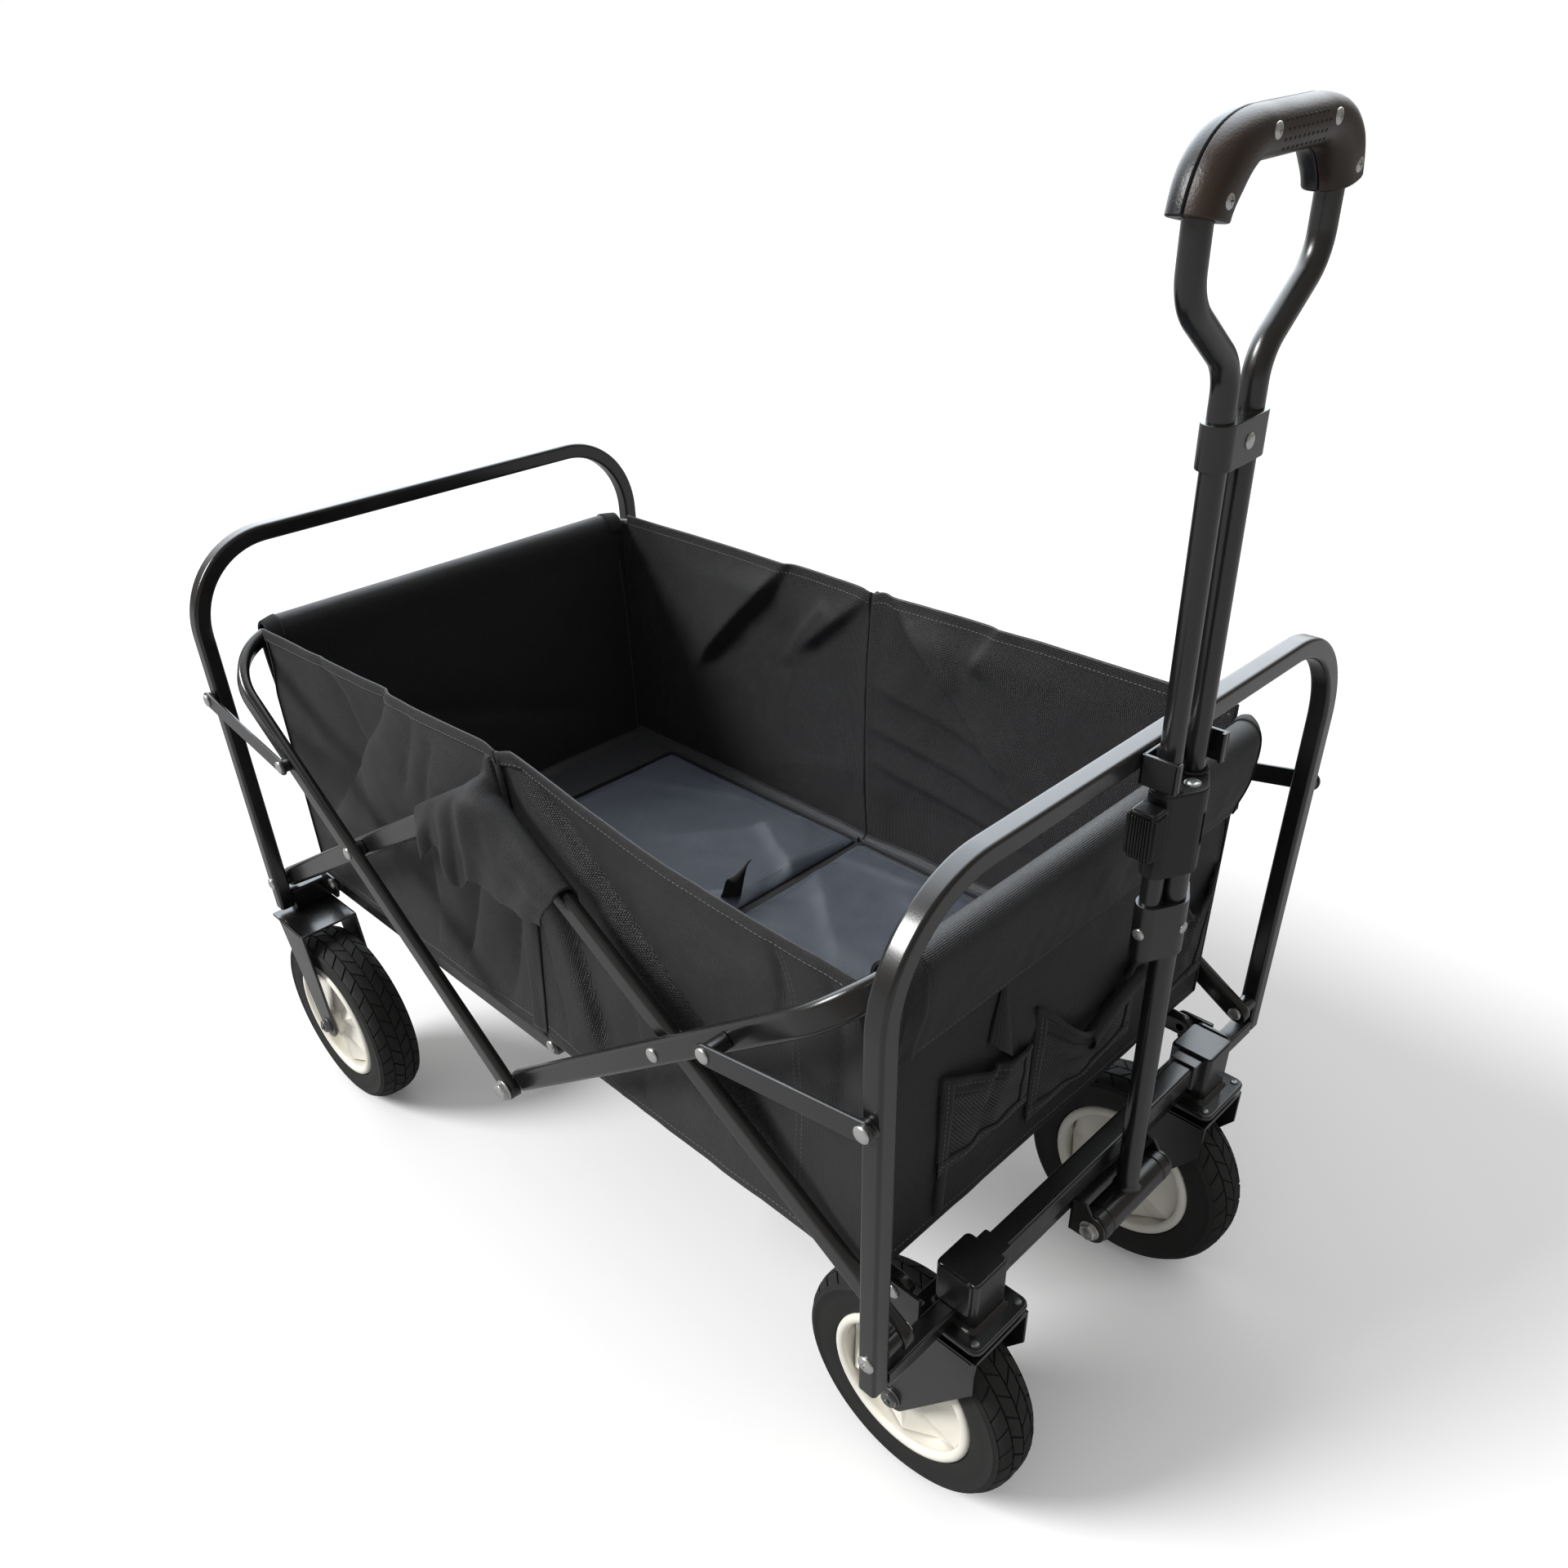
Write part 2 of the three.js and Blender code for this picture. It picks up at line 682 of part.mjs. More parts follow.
function bandClampBody() {
  const [z0, z1] = bandClamp;
  const wall = 2.6;
  const blocks = legPlaces.map(([x, y]) => solid(upright(x, y, gripTubeRadius + wall, z0, z1)));
  const web = box(
    -gripTubeBehind - gripTubeRadius - wall, -gripTubeBehind + gripTubeRadius + wall,
    -gripTubeSpacing, gripTubeSpacing, z0, z1,
  );
  return cut(
    join(...blocks, solid(web)),
    ...legPlaces.map(([x, y]) => {
      return solid(upright(x, y, gripTubeRadius + clearance, z0 - 1, z1 + 1));
    }),
  );
}

// The grip tube's centre line: up one side, round the grip and down the other.
function gripPath() {
  const x = -gripTubeBehind;
  const [flareLow, flareHigh] = gripFlare;
  const half = [
    [gripTubeSpacing, lowerClamp[0] + 3],
    [gripTubeSpacing, bandClamp[0] - 6],
    [gripTubeSpacing, bandClamp[1] + 1],
    [gripTubeSpacing, flareLow],
  ];
  for (const [across, along] of [[0.1, 0.1], [0.27, 0.26], [0.53, 0.52], [0.8, 0.75]]) {
    half.push([
      THREE.MathUtils.lerp(gripTubeSpacing, gripHalfWide, across),
      THREE.MathUtils.lerp(flareLow, flareHigh, along),
    ]);
  }
  half.push([gripHalfWide - 3, flareHigh - 6], [gripHalfWide, flareHigh + 7]);
  for (const turn of [0, 30, 60, 90]) {
    const angle = THREE.MathUtils.degToRad(turn);
    half.push([
      gripHalfWide - gripCorner + gripCorner * Math.cos(angle),
      gripTop - gripCorner + gripCorner * Math.sin(angle),
    ]);
  }
  const left = half.map(([y, z]) => [x, y, z]);
  const right = half.map(([y, z]) => [x, -y, z]).reverse();
  return [...left, [x, 0, gripTop], ...right];
}

function gripCover() {
  const x = -gripTubeBehind;
  const shape = bowShape(gripRadius, gripHalfWide, gripEnd, gripTop, gripCorner);
  const cover = bow(shape, 2 * gripRadius, 5, Math.PI / 2).translate(x, 0, 0);
  return cut(solid(cover), solid(tube(gripPath(), gripTubeRadius + clearance)));
}

function handleBracket() {
  const half = sleeveLong / 2 + clearance;
  const y = handlePivotY;
  const back = halfSpan + legFace + clearance;
  const earReach = 12;
  const ear = new THREE.Shape();
  ear.moveTo(back, handlePivotZ - earReach);
  ear.lineTo(handleX, handlePivotZ - earReach);
  ear.absarc(handleX, handlePivotZ, earReach, -Math.PI / 2, Math.PI / 2, false);
  ear.lineTo(handleX - earReach / 2, lowerBarHigh);
  ear.lineTo(back, lowerBarHigh);
  ear.closePath();
  const hole = solid(
    pin(handleX, handlePivotZ, axleRadius + clearance, y - half - 9, y + half + 9),
  );
  const low = handlePivotZ - earReach;
  return cut(
    join(
      solid(sidePlate(ear, y - half - 3, y - half)),
      solid(sidePlate(ear, y + half, y + half + 3)),
      solid(box(back, back + 2.4, y - half - 3, y + half + 3, low, lowerBarHigh)),
    ),
    hole,
  );
}

function handleBolt() {
  const reach = sleeveLong / 2 + 3 + 2 * clearance;
  const y = handlePivotY;
  return join(
    solid(pin(handleX, handlePivotZ, axleRadius, y - reach - 1, y + reach + 1)),
    solid(pin(handleX, handlePivotZ, 8.5, y - reach - 6, y - reach, 6)),
    solid(pin(handleX, handlePivotZ, 8.5, y + reach, y + reach + 6, 6)),
  );
}

// The catch on the push bar that holds the handle upright.
function handleCatch() {
  const low = frameTop - 15;
  const high = frameTop + 5;
  const y = handlePivotY - Math.tan(lean) * ((low + high) / 2 - handlePivotZ);
  const back = halfSpan + legFace + clearance;
  const front = handleX + 6;
  const mouth = gripTubeSpacing + gripTubeRadius + 1.6;
  const arms = [-1, 1].flatMap((side) => {
    const outer = [side * (mouth + 3), side * (mouth + 6)].sort((a, b) => a - b);
    const lip = [side * mouth, side * (mouth + 6)].sort((a, b) => a - b);
    return [
      solid(box(back, front, y + outer[0], y + outer[1], low, high)),
      solid(box(front - 3, front, y + lip[0], y + lip[1], low, high)),
    ];
  });
  return join(solid(box(back, back + 2.4, y - mouth - 6, y + mouth + 6, low, high)), ...arms);
}

// ---------------------------------------------------------------- cloth tub
// The end wall hangs from the bail's cross bar by a sewn sleeve.
function endWall(end) {
  const face = bailReach - wallOutset;
  const shape = new THREE.Shape();
  const inner = (face - clothThick) * end;
  const outer = face * end;
  shape.moveTo(inner, wallLow);
  shape.lineTo(outer, wallLow);
  shape.lineTo(outer, bailTopZ);
  shape.lineTo(inner, bailTopZ);
  shape.closePath();
  const x = end * bailReach;
  const wallHalf = tubHalfWide - clothThick - clearance;
  let wall = join(
    cut(
      solid(sidePlate(shape, -wallHalf, wallHalf)),
      solid(pin(x, bailTopZ, sleeveOuter - 0.5, -wallHalf - 2, wallHalf + 2, 20)),
      solid(box(x - 30, x + 30, sleeveHalf, wallHalf + 2, bailTopZ - 34, bailTopZ + 2)),
      solid(box(x - 30, x + 30, -wallHalf - 2, -sleeveHalf, bailTopZ - 34, bailTopZ + 2)),
    ),
    solid(pin(x, bailTopZ, sleeveOuter, -sleeveHalf, sleeveHalf, 20)),
  );
  if (end > 0) {
    for (const [, side] of sides) {
      const y = [side * 45, side * 165].sort((a, b) => a - b);
      const outer = face + pocketThick;
      wall = join(wall, solid(box(face - 1, outer, ...y, wallLow + 40, wallLow + 165)));
    }
  }
  return cut(wall, solid(pin(x, bailTopZ, sleeveInner, -sleeveHalf - 9, sleeveHalf + 9, 20)));
}

// Half of a side wall, from an end wall to the middle.
function sideWall(end, side) {
  const corner = bailReach - wallOutset - clothThick;
  const shape = new THREE.Shape();
  shape.moveTo(end * corner, wallLow);
  shape.lineTo(end * corner, wallLow + 205);
  shape.lineTo(end * (corner - 18), wallLow + 225);
  shape.lineTo(end * (corner - 18), sideTop);
  shape.lineTo(end * clearance, sideTopMid);
  shape.lineTo(end * clearance, wallLow);
  shape.closePath();
  return sidePlate(shape, side * (tubHalfWide - clothThick), side * tubHalfWide);
}

function floorPad(end) {
  const padLow = floorPinZ + sideTubeTall / 2 + clearance;
  const reach = bailReach - wallOutset - 2 * clothThick;
  const half = tubHalfWide - 2 * clothThick;
  const x = [end * clearance, end * reach].sort((a, b) => a - b);
  return box(...x, -half, half, padLow, padLow + padThick);
}

// The sewn flap that covers the arms' top pivot.
function topFlap(side) {
  const near = rearArmY + sideTubeWide / 2 + 2.2;
  const shape = new THREE.Shape();
  shape.moveTo(0, topPinZ + 16);
  shape.lineTo(-86, topPinZ - 36);
  shape.lineTo(-80, topPinZ - 74);
  shape.lineTo(0, topPinZ - 62);
  shape.lineTo(84, topPinZ - 104);
  shape.lineTo(104, topPinZ - 48);
  shape.closePath();
  return sidePlate(shape, side * near, side * (near + 2));
}

// ---------------------------------------------------------------- the assembly
for (const [endName, end] of ends) {
  add(`${endName}_frame`, endFrame(end), blackPaint());
  add(`${endName}_bail`, bail(end), blackPaint());
  add(`${endName}_floor_frame`, floorFrame(end), blackPaint());
  for (const [sideName, side] of sides) {
    add(`${endName}_arm_${sideName}`, arm(end, side), blackPaint());
    add(`${endName}_link_${sideName}`, link(end, side), blackPaint());
  }
}
add("rear_cross_tube", rearCross(), blackPaint());
add("front_lower_bar", lowerBar(), blackPaint());
add("front_upper_tube", upperTube(), blackPaint());
add("handle_bracket", handleBracket(), blackPaint());
add("handle_bolt", handleBolt(), zinc());
add("handle_catch", handleCatch(), blackPaint());

for (const [sideName, side] of sides) {
  add(`bail_bolt_${sideName}`, bailBolt(side), zinc());
  add(`caster_mount_${sideName}`, casterMount(side), blackPaint());
  add(`rear_fork_${sideName}`, rearFork(side), blackPaint());
  add(`caster_fork_${sideName}`, casterFork(side), blackPaint());
  add(`rear_axle_${sideName}`, axleBolt(rearAxleX, side * rearWheelY), zinc());
  add(`caster_axle_${sideName}`, axleBolt(frontAxleX, side * casterY), zinc());
  for (const [kind, x, y] of [
    ["rear", rearAxleX, rearWheelY],
    ["front", frontAxleX, casterY],
  ]) {
    const wheel = new THREE.Group();
    wheel.position.set(x, side * y, tyreRadius);
    wagon.add(wheel);
    add(`${kind}_hub_${sideName}`, hub(), creamPlastic(), wheel);
    add(`${kind}_tyre_${sideName}`, tyre(), rubber(), wheel);
  }
  add(`top_flap_${sideName}`, topFlap(side), wovenCloth());
}

const handle = new THREE.Group();
handle.position.set(handleX, handlePivotY, handlePivotZ);
wagon.add(handle);
add("handle_main_tube", mainTube(), blackPaint(), handle);
const upper = new THREE.Group();
upper.rotation.x = lean;
handle.add(upper);
add("handle_fixed_clamp", fixedClamp(), blackPlastic(), upper);
add("handle_release_key", releaseKey(), blackPlastic(), upper);
add("handle_grip_tube", solid(tube(gripPath(), gripTubeRadius)), blackPaint(), upper);
add("handle_grip", gripCover(), blackPlastic(), upper);
add("handle_sliding_clamp", slidingClamp(), blackPaint(), upper);
add("handle_band", bandClampBody(), blackPaint(), upper);

for (const [endName, end] of ends) {
  add(`${endName}_wall`, endWall(end), wovenCloth());
  add(`${endName}_floor_pad`, floorPad(end), coatedCloth());
  for (const [sideName, side] of sides) {
    add(`${endName}_side_${sideName}`, sideWall(end, side), wovenCloth());
  }
}

export default wagon;
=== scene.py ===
import bisect
import json
from math import asin, atan2, copysign, cos, degrees, dist, exp, hypot, pi, radians, sin, sqrt, tan

import bmesh
import bpy
from mathutils import Matrix, Vector, noise
from mathutils.bvhtree import BVHTree

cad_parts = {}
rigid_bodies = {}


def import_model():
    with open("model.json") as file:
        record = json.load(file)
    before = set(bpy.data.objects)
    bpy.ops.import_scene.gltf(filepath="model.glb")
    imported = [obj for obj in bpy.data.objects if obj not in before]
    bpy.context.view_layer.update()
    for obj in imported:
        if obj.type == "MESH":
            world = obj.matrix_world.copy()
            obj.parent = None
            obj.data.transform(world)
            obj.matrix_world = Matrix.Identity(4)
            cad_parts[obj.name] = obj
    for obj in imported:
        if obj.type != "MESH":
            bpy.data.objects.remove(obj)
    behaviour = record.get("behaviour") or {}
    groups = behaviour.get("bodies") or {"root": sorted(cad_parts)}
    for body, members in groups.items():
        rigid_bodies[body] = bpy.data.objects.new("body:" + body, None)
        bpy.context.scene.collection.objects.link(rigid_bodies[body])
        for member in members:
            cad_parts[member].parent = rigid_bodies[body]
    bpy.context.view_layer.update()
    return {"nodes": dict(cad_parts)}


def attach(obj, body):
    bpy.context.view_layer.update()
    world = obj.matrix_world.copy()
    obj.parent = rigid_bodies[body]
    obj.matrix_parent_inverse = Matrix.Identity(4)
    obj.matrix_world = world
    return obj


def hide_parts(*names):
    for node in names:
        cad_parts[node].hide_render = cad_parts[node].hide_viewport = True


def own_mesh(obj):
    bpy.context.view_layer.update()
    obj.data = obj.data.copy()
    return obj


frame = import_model()
scene = bpy.context.scene
print("frame loaded,", len(frame["nodes"]), "nodes")

# Sizes are metres. x runs towards the handle from the middle of the wagon, y to its left.
wagon = {
    "halfSpan": 0.409,  # middle to an end frame's legs
    "legY": 0.250,
    "legTube": 0.015,
    "legFoot": 0.222,  # height of the legs' lower ends
    "frameTop": 0.5995,
    "tyreRadius": 0.100,
    "tyreWide": 0.046,
    "rimRadius": 0.066,
    "tubeTall": 0.020,  # flat oval side tubes
    "tubeWide": 0.010,
    "clothHalfWide": 0.214,
    "rearAxleAhead": 0.058,
    "swivelAhead": 0.004,
    "casterTrail": 0.041,
    "clear": 0.0003,
}
halfSpan, legY, legTube = wagon["halfSpan"], wagon["legY"], wagon["legTube"]
legFoot, frameTop, clear = wagon["legFoot"], wagon["frameTop"], wagon["clear"]
tubeTall, tubeWide = wagon["tubeTall"], wagon["tubeWide"]
tyreRadius, tyreWide, rimRadius = wagon["tyreRadius"], wagon["tyreWide"], wagon["rimRadius"]
clothHalfWide = wagon["clothHalfWide"]
rearAxleX = wagon["rearAxleAhead"] - halfSpan
swivelX = halfSpan + wagon["swivelAhead"]
frontAxleX = swivelX - wagon["casterTrail"]
middleX = -(rearAxleX + frontAxleX) / 2  # the origin is midway between the axles

# The side tubes lie in four layers.
armY = {-1: legY - legTube / 2 - 0.0015 - tubeWide / 2}
armY[1] = armY[-1] - 0.002 - tubeWide
bailY = {end: armY[end] + 0.005 + tubeWide for end in (-1, 1)}
lowPinZ, topPinZ = legFoot + 0.030, legFoot + 0.276
midPinZ, linkPinZ = legFoot + 0.004, legFoot + 0.240
bailSlope, bailReach = 0.765, halfSpan - 0.028
bailTopZ = midPinZ + bailSlope * bailReach
armSlope = (topPinZ - lowPinZ) / halfSpan
crossX = (topPinZ - midPinZ) / (armSlope + bailSlope)
crossZ = midPinZ + bailSlope * crossX
linkX = halfSpan - 0.131
linkY = bailY[-1] + tubeWide / 2 + 0.005  # inner face of the links
linkThick = 0.003
rearWheelY, casterY = legY - 0.017, 0.153
floorPinX, floorPinZ = halfSpan - 0.030, legFoot + 0.020
floorY = {-1: clothHalfWide - 0.014}
floorY[1] = floorY[-1] - 0.002 - tubeWide
ends, endName = (-1, 1), {-1: "rear", 1: "front"}
sides, sideName, sideTitle = (1, -1), {1: "left", -1: "right"}, {1: "Left", -1: "Right"}
alongX, alongY, alongZ = Vector((1, 0, 0)), Vector((0, 1, 0)), Vector((0, 0, 1))
middle = Vector((0, 0, 0))


# Mesh helpers

def ease(t):
    t = max(0.0, min(1.0, t))
    return t * t * (3 - 2 * t)


def loft(bm, rings, caps=True, closed=False):
    made = [[bm.verts.new(p) for p in ring] for ring in rings]
    pairs = list(zip(made, made[1:])) + ([(made[-1], made[0])] if closed else [])
    for a, b in pairs:
        for i in range(len(a)):
            j = (i + 1) % len(a)
            bm.faces.new((a[i], a[j], b[j], b[i]))
    if caps and not closed:
        bm.faces.new(made[0][::-1])
        bm.faces.new(made[-1])


def roundRect(wide, tall, radius, steps=4):
    points = []
    for k, (sx, sy) in enumerate([(1, 1), (-1, 1), (-1, -1), (1, -1)]):
        for i in range(steps + 1):
            turn = radians(90 * k + 90 * i / steps)
            x = sx * (wide / 2 - radius) + radius * cos(turn)
            points.append((x, sy * (tall / 2 - radius) + radius * sin(turn)))
    return points


def circle(radius, count=24):
    turns = [2 * pi * i / count for i in range(count)]
    return [(radius * cos(t), radius * sin(t)) for t in turns]


def arc(centre, radius, first, last, steps):
    turns = [radians(first + (last - first) * i / steps) for i in range(steps + 1)]
    return [
        (centre[0] + radius * cos(t), centre[1] + radius * sin(t)) for t in turns
    ]


# Points that round the corner at b, on the way from a to c.
def roundedCorner(a, b, c, radius, steps):
    u, v = (a - b).normalized(), (c - b).normalized()
    half = u.angle(v) / 2
    centre = b + (u + v).normalized() * (radius / sin(half))
    first = b + u * (radius / tan(half)) - centre
    last = b + v * (radius / tan(half)) - centre
    swing = first.angle(last)
    points = []
    for i in range(steps + 1):
        near, far = sin((1 - i / steps) * swing), sin(i / steps * swing)
        points.append(centre + (first * near + last * far) / sin(swing))
    return points


# A path through the corners, each rounded to the radius.
def bentPath(corners, radius, steps=14):
    corners = [Vector(c) for c in corners]
    path = [corners[0]]
    for a, b, c in zip(corners, corners[1:], corners[2:]):
        path += roundedCorner(a, b, c, radius, steps)
    return path + [corners[-1]]


# An outline with each corner rounded. Corners are (x, y, radius), anticlockwise.
def filleted(corners):
    points = []
    for i, (x, y, radius) in enumerate(corners):
        before, after = corners[i - 1][:2], corners[(i + 1) % len(corners)][:2]
        points += roundedCorner(Vector(before), Vector((x, y)), Vector(after), radius, 5)
    return [tuple(p) for p in points]


# Carries a section along a flat path. Up stands across the path, along the section's second axis.
def sweep(bm, path, section, up, roundEnds=0.0):
    path = [Vector(p) for p in path]
    tall = [1.0] * len(path)
    if roundEnds:
        turns = [radians(t) for t in (6, 26, 46, 66, 90)]
        share = [sin(t) for t in turns]
        first, last = path[0], path[-1]
        lead, tail = (path[1] - first).normalized(), (path[-2] - last).normalized()
        start = [first + lead * roundEnds * (1 - cos(t)) for t in turns]
        stop = [last + tail * roundEnds * (1 - cos(t)) for t in turns[::-1]]
        path = start + path[1:-1] + stop
        tall = share + [1.0] * (len(path) - 2 * len(turns)) + share[::-1]
    rings = []
    for i, p in enumerate(path):
        ahead = (path[min(i + 1, len(path) - 1)] - path[max(i - 1, 0)]).normalized()
        side = Vector(up).cross(ahead).normalized()
        over = ahead.cross(side)
        rings.append([p + side * a + over * b * tall[i] for a, b in section])
    loft(bm, rings)


# A straight bar along y, of a rounded rectangle section.
def crossBar(bm, x, halfLong, low, high, wide, corner):
    z = (low + high) / 2
    section = roundRect(wide, high - low, corner)
    sweep(bm, [(x, -halfLong, z), (x, halfLong, z)], section, alongZ)


# Turns a profile of (radius, height) about an axis through the centre.
def lathe(bm, profile, centre, axis, steps, closed=False):
    first = axis.orthogonal().normalized()
    second = axis.cross(first)
    rings = []
    for radius, height in profile:
        foot = Vector(centre) + axis * height
        rings.append([foot + first * a + second * b for a, b in circle(max(radius, 1e-5), steps)])
    loft(bm, rings, caps=not closed, closed=closed)


# A profile followed by its mirror image.
def mirrored(profile):
    return profile + [(radius, -height) for radius, height in profile[::-1]]


def offsetOutline(outline, inset):
    moved = []
    for i, (x, y) in enumerate(outline):
        before, after = outline[i - 1], outline[(i + 1) % len(outline)]
        u = Vector((x - before[0], y - before[1])).normalized()
        v = Vector((after[0] - x, after[1] - y)).normalized()
        normal = Vector((u.y + v.y, -u.x - v.x)).normalized()
        reach = inset / max(0.35, normal.dot(Vector((v.y, -v.x))))
        moved.append((x - normal.x * reach, y - normal.y * reach))
    return moved


def inXZ(a, b, depth):
    return (a, depth, b)


def inXY(a, b, depth):
    return (a, b, depth)


# A plate between two depths of an anticlockwise outline, its edges rounded.
def plate(bm, outline, place, depths, edge=0.0008, steps=2):
    low, high = sorted(depths)
    rings = []
    for i in range(steps + 1):
        turn = radians(90 * i / steps)
        ring = offsetOutline(outline, edge * (1 - sin(turn)))
        rings.append((ring, low + edge * (1 - cos(turn))))
    rings += [(ring, low + high - depth) for ring, depth in rings[::-1]]
    loft(bm, [[Vector(place(a, b, depth)) for a, b in ring] for ring, depth in rings])


# A box with rounded edges all round, between two places on each axis.
def roundBox(bm, xs, ys, zs, edge=0.001, corner=None, steps=2):
    (x0, x1), (y0, y1) = sorted(xs), sorted(ys)
    outline = roundRect(x1 - x0, y1 - y0, edge if corner is None else corner, 3)
    cx, cy = (x0 + x1) / 2, (y0 + y1) / 2
    plate(bm, [(a + cx, b + cy) for a, b in outline], inXY, zs, edge, steps)


# Two places at the same distance from a centre.
def about(centre, reach):
    return (centre - reach, centre + reach)


# A rectangle between two places each way. Its two lower and two upper corners are rounded.
def squareOutline(xs, ys, lowRound, highRound):
    (left, right), (low, high) = sorted(xs), sorted(ys)
    return filleted([
        (left, low, lowRound), (right, low, lowRound), (right, high, highRound),
        (left, high, highRound),
    ])


def barOutline(a, b, wide, steps):
    turn = degrees(atan2(b[1] - a[1], b[0] - a[0]))
    return arc(a, wide / 2, turn + 90, turn + 270, steps) + arc(
        b, wide / 2, turn - 90, turn + 90, steps
    )


# Makes the mesh an object at the origin, with its place in its mesh.
def objectOf(name, bm, material, turn=None, smoothAngle=34, outward=True):
    if outward:
        bmesh.ops.recalc_face_normals(bm, faces=bm.faces)
    mesh = bpy.data.meshes.new(name)
    bm.to_mesh(mesh)
    bm.free()
    if turn:
        mesh.transform(turn)
    mesh.transform(Matrix.Translation((middleX, 0, 0)))
    mesh.materials.append(material)
    shadeSmooth(mesh, smoothAngle)
    obj = bpy.data.objects.new(name, mesh)
    scene.collection.objects.link(obj)
    return obj


def shadeSmooth(mesh, smoothAngle=34):
    mesh.polygons.foreach_set("use_smooth", [True] * len(mesh.polygons))
    mesh.set_sharp_from_angle(angle=radians(smoothAngle))


# Applies the object's modifiers.
def applied(obj):
    graph = bpy.context.evaluated_depsgraph_get()
    made = bpy.data.meshes.new_from_object(obj.evaluated_get(graph))
    obj.modifiers.clear()
    old = obj.data
    obj.data = made
    bpy.data.meshes.remove(old)
    made.name = obj.name
    return obj


def flatShaded(obj):
    obj.modifiers.new("even faces", "WEIGHTED_NORMAL").keep_sharp = True
    return applied(obj)


def settle(obj, body, nodes=()):
    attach(obj, body)
    if nodes:
        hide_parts(*nodes)
    return obj


def painted(name, bm, body, nodes=(), turn=None):
    settle(flatShaded(objectOf(name, bm, blackPaint, turn)), body, nodes)


def removeObject(obj):
    mesh = obj.data
    bpy.data.objects.remove(obj)
    bpy.data.meshes.remove(mesh)


def cutAway(obj, bm, turn=None):
    tool = objectOf("cutter", bm, obj.data.materials[0], turn)
    away = obj.modifiers.new("cut", "BOOLEAN")
    away.operation = "DIFFERENCE"
    away.solver = "EXACT"
    away.object = tool
    applied(obj)
    removeObject(tool)
    obj.data.set_sharp_from_angle(angle=radians(34))


# Node helpers

def wire(tree, value, socket):
    if isinstance(value, bpy.types.NodeSocket):
        tree.links.new(value, socket)
    else:
        socket.default_value = value


# Adds a node. Listed values go to its first inputs, named ones to an input or a setting.
def addNode(tree, kind, *listed, **named):
    made = tree.nodes.new(kind)
    for key, value in named.items():
        label = key.replace("_", " ")
        if label in made.inputs:
            wire(tree, value, made.inputs[label])
        else:
            setattr(made, key, value)
    for value, socket in zip(listed, made.inputs):
        wire(tree, value, socket)
    return made


# Materials

def linear(hexColour):
    parts = [int(hexColour[i : i + 2], 16) / 255 for i in (0, 2, 4)]
    return [p / 12.92 if p < 0.04045 else ((p + 0.055) / 1.055) ** 2.4 for p in parts]


class Finish:
    def __init__(self, name, colour, roughness, metallic=0.0, **sockets):
        self.material = bpy.data.materials.new(name)
        self.material.use_nodes = True
        self.tree = self.material.node_tree
        self.shader = self.tree.nodes["Principled BSDF"].inputs
        self.colour = linear(colour)
        self.shader["Base Color"].default_value = (*self.colour, 1)
        self.shader["Roughness"].default_value = roughness
        self.shader["Metallic"].default_value = metallic
        for socket, value in sockets.items():
            self.shader[socket.replace("_", " ")].default_value = value

    def node(self, kind, *listed, **named):
        return addNode(self.tree, kind, *listed, **named)

    def noise(self, scale, detail):
        where = self.node("ShaderNodeTexCoord").outputs["Object"]
        made = self.node("ShaderNodeTexNoise", Vector=where, Scale=scale, Detail=detail)
        return made.outputs["Fac"]

    def remap(self, value, low, high, fromLow=0.3, fromHigh=0.7):
        made = self.node("ShaderNodeMapRange", value, fromLow, fromHigh, low, high)
        return made.outputs["Result"]

    def roughen(self, value, low, high):
        wire(self.tree, self.remap(value, low, high), self.shader["Roughness"])

    def tint(self, value, other, low=0.0, high=1.0):
        last = self.shader["Base Color"]
        under = last.links[0].from_socket if last.is_linked else (*self.colour, 1)
        mix = self.node("ShaderNodeMix", self.remap(value, low, high), data_type="RGBA")
        wire(self.tree, under, mix.inputs[6])
        wire(self.tree, (*linear(other), 1), mix.inputs[7])
        wire(self.tree, mix.outputs[2], last)

    def bump(self, value, distance, strength):
        made = self.node("ShaderNodeBump", Strength=strength, Distance=distance, Height=value)
        last = self.shader["Normal"]
        if last.is_linked:
            wire(self.tree, last.links[0].from_socket, made.inputs["Normal"])
        wire(self.tree, made.outputs["Normal"], last)

    # Over and under threads, a thread every pitch metres along the cloth's own map.
    def weave(self, pitch, distance, strength):
        where = self.node("ShaderNodeUVMap", uv_map="cloth").outputs["UV"]
        waves = [
            self.node(
                "ShaderNodeTexWave", wave_type="BANDS", bands_direction=axis, Vector=where,
                Scale=pi / 10 / pitch, Distortion=0.6, Detail=1.0,
            ).outputs["Fac"]
            for axis in "XY"
        ]
        both = self.node("ShaderNodeMath", *waves, operation="MULTIPLY").outputs[0]
        self.bump(both, distance, strength)
        return both


# A hard finish: patches of wear change its gloss and colour, and a fine grain its relief.
def hardFinish(
    name, colour, other, gloss, patches, grain, relief, roughness=0.5, metallic=0.0, worn=0.8,
    **sockets,
):
    made = Finish(name, colour, roughness, metallic, **sockets)
    wear = made.noise(*patches)
    made.roughen(wear, *gloss)
    if other:
        made.tint(wear, other, 0.0, worn)
    made.bump(made.noise(*grain), *relief)
    return made.material


def plasticFinish(name, colour, other, gloss):
    return hardFinish(
        name, colour, other, gloss, (25, 4), (850, 3), (0.0003, 0.45), Specular_IOR_Level=0.45
    )


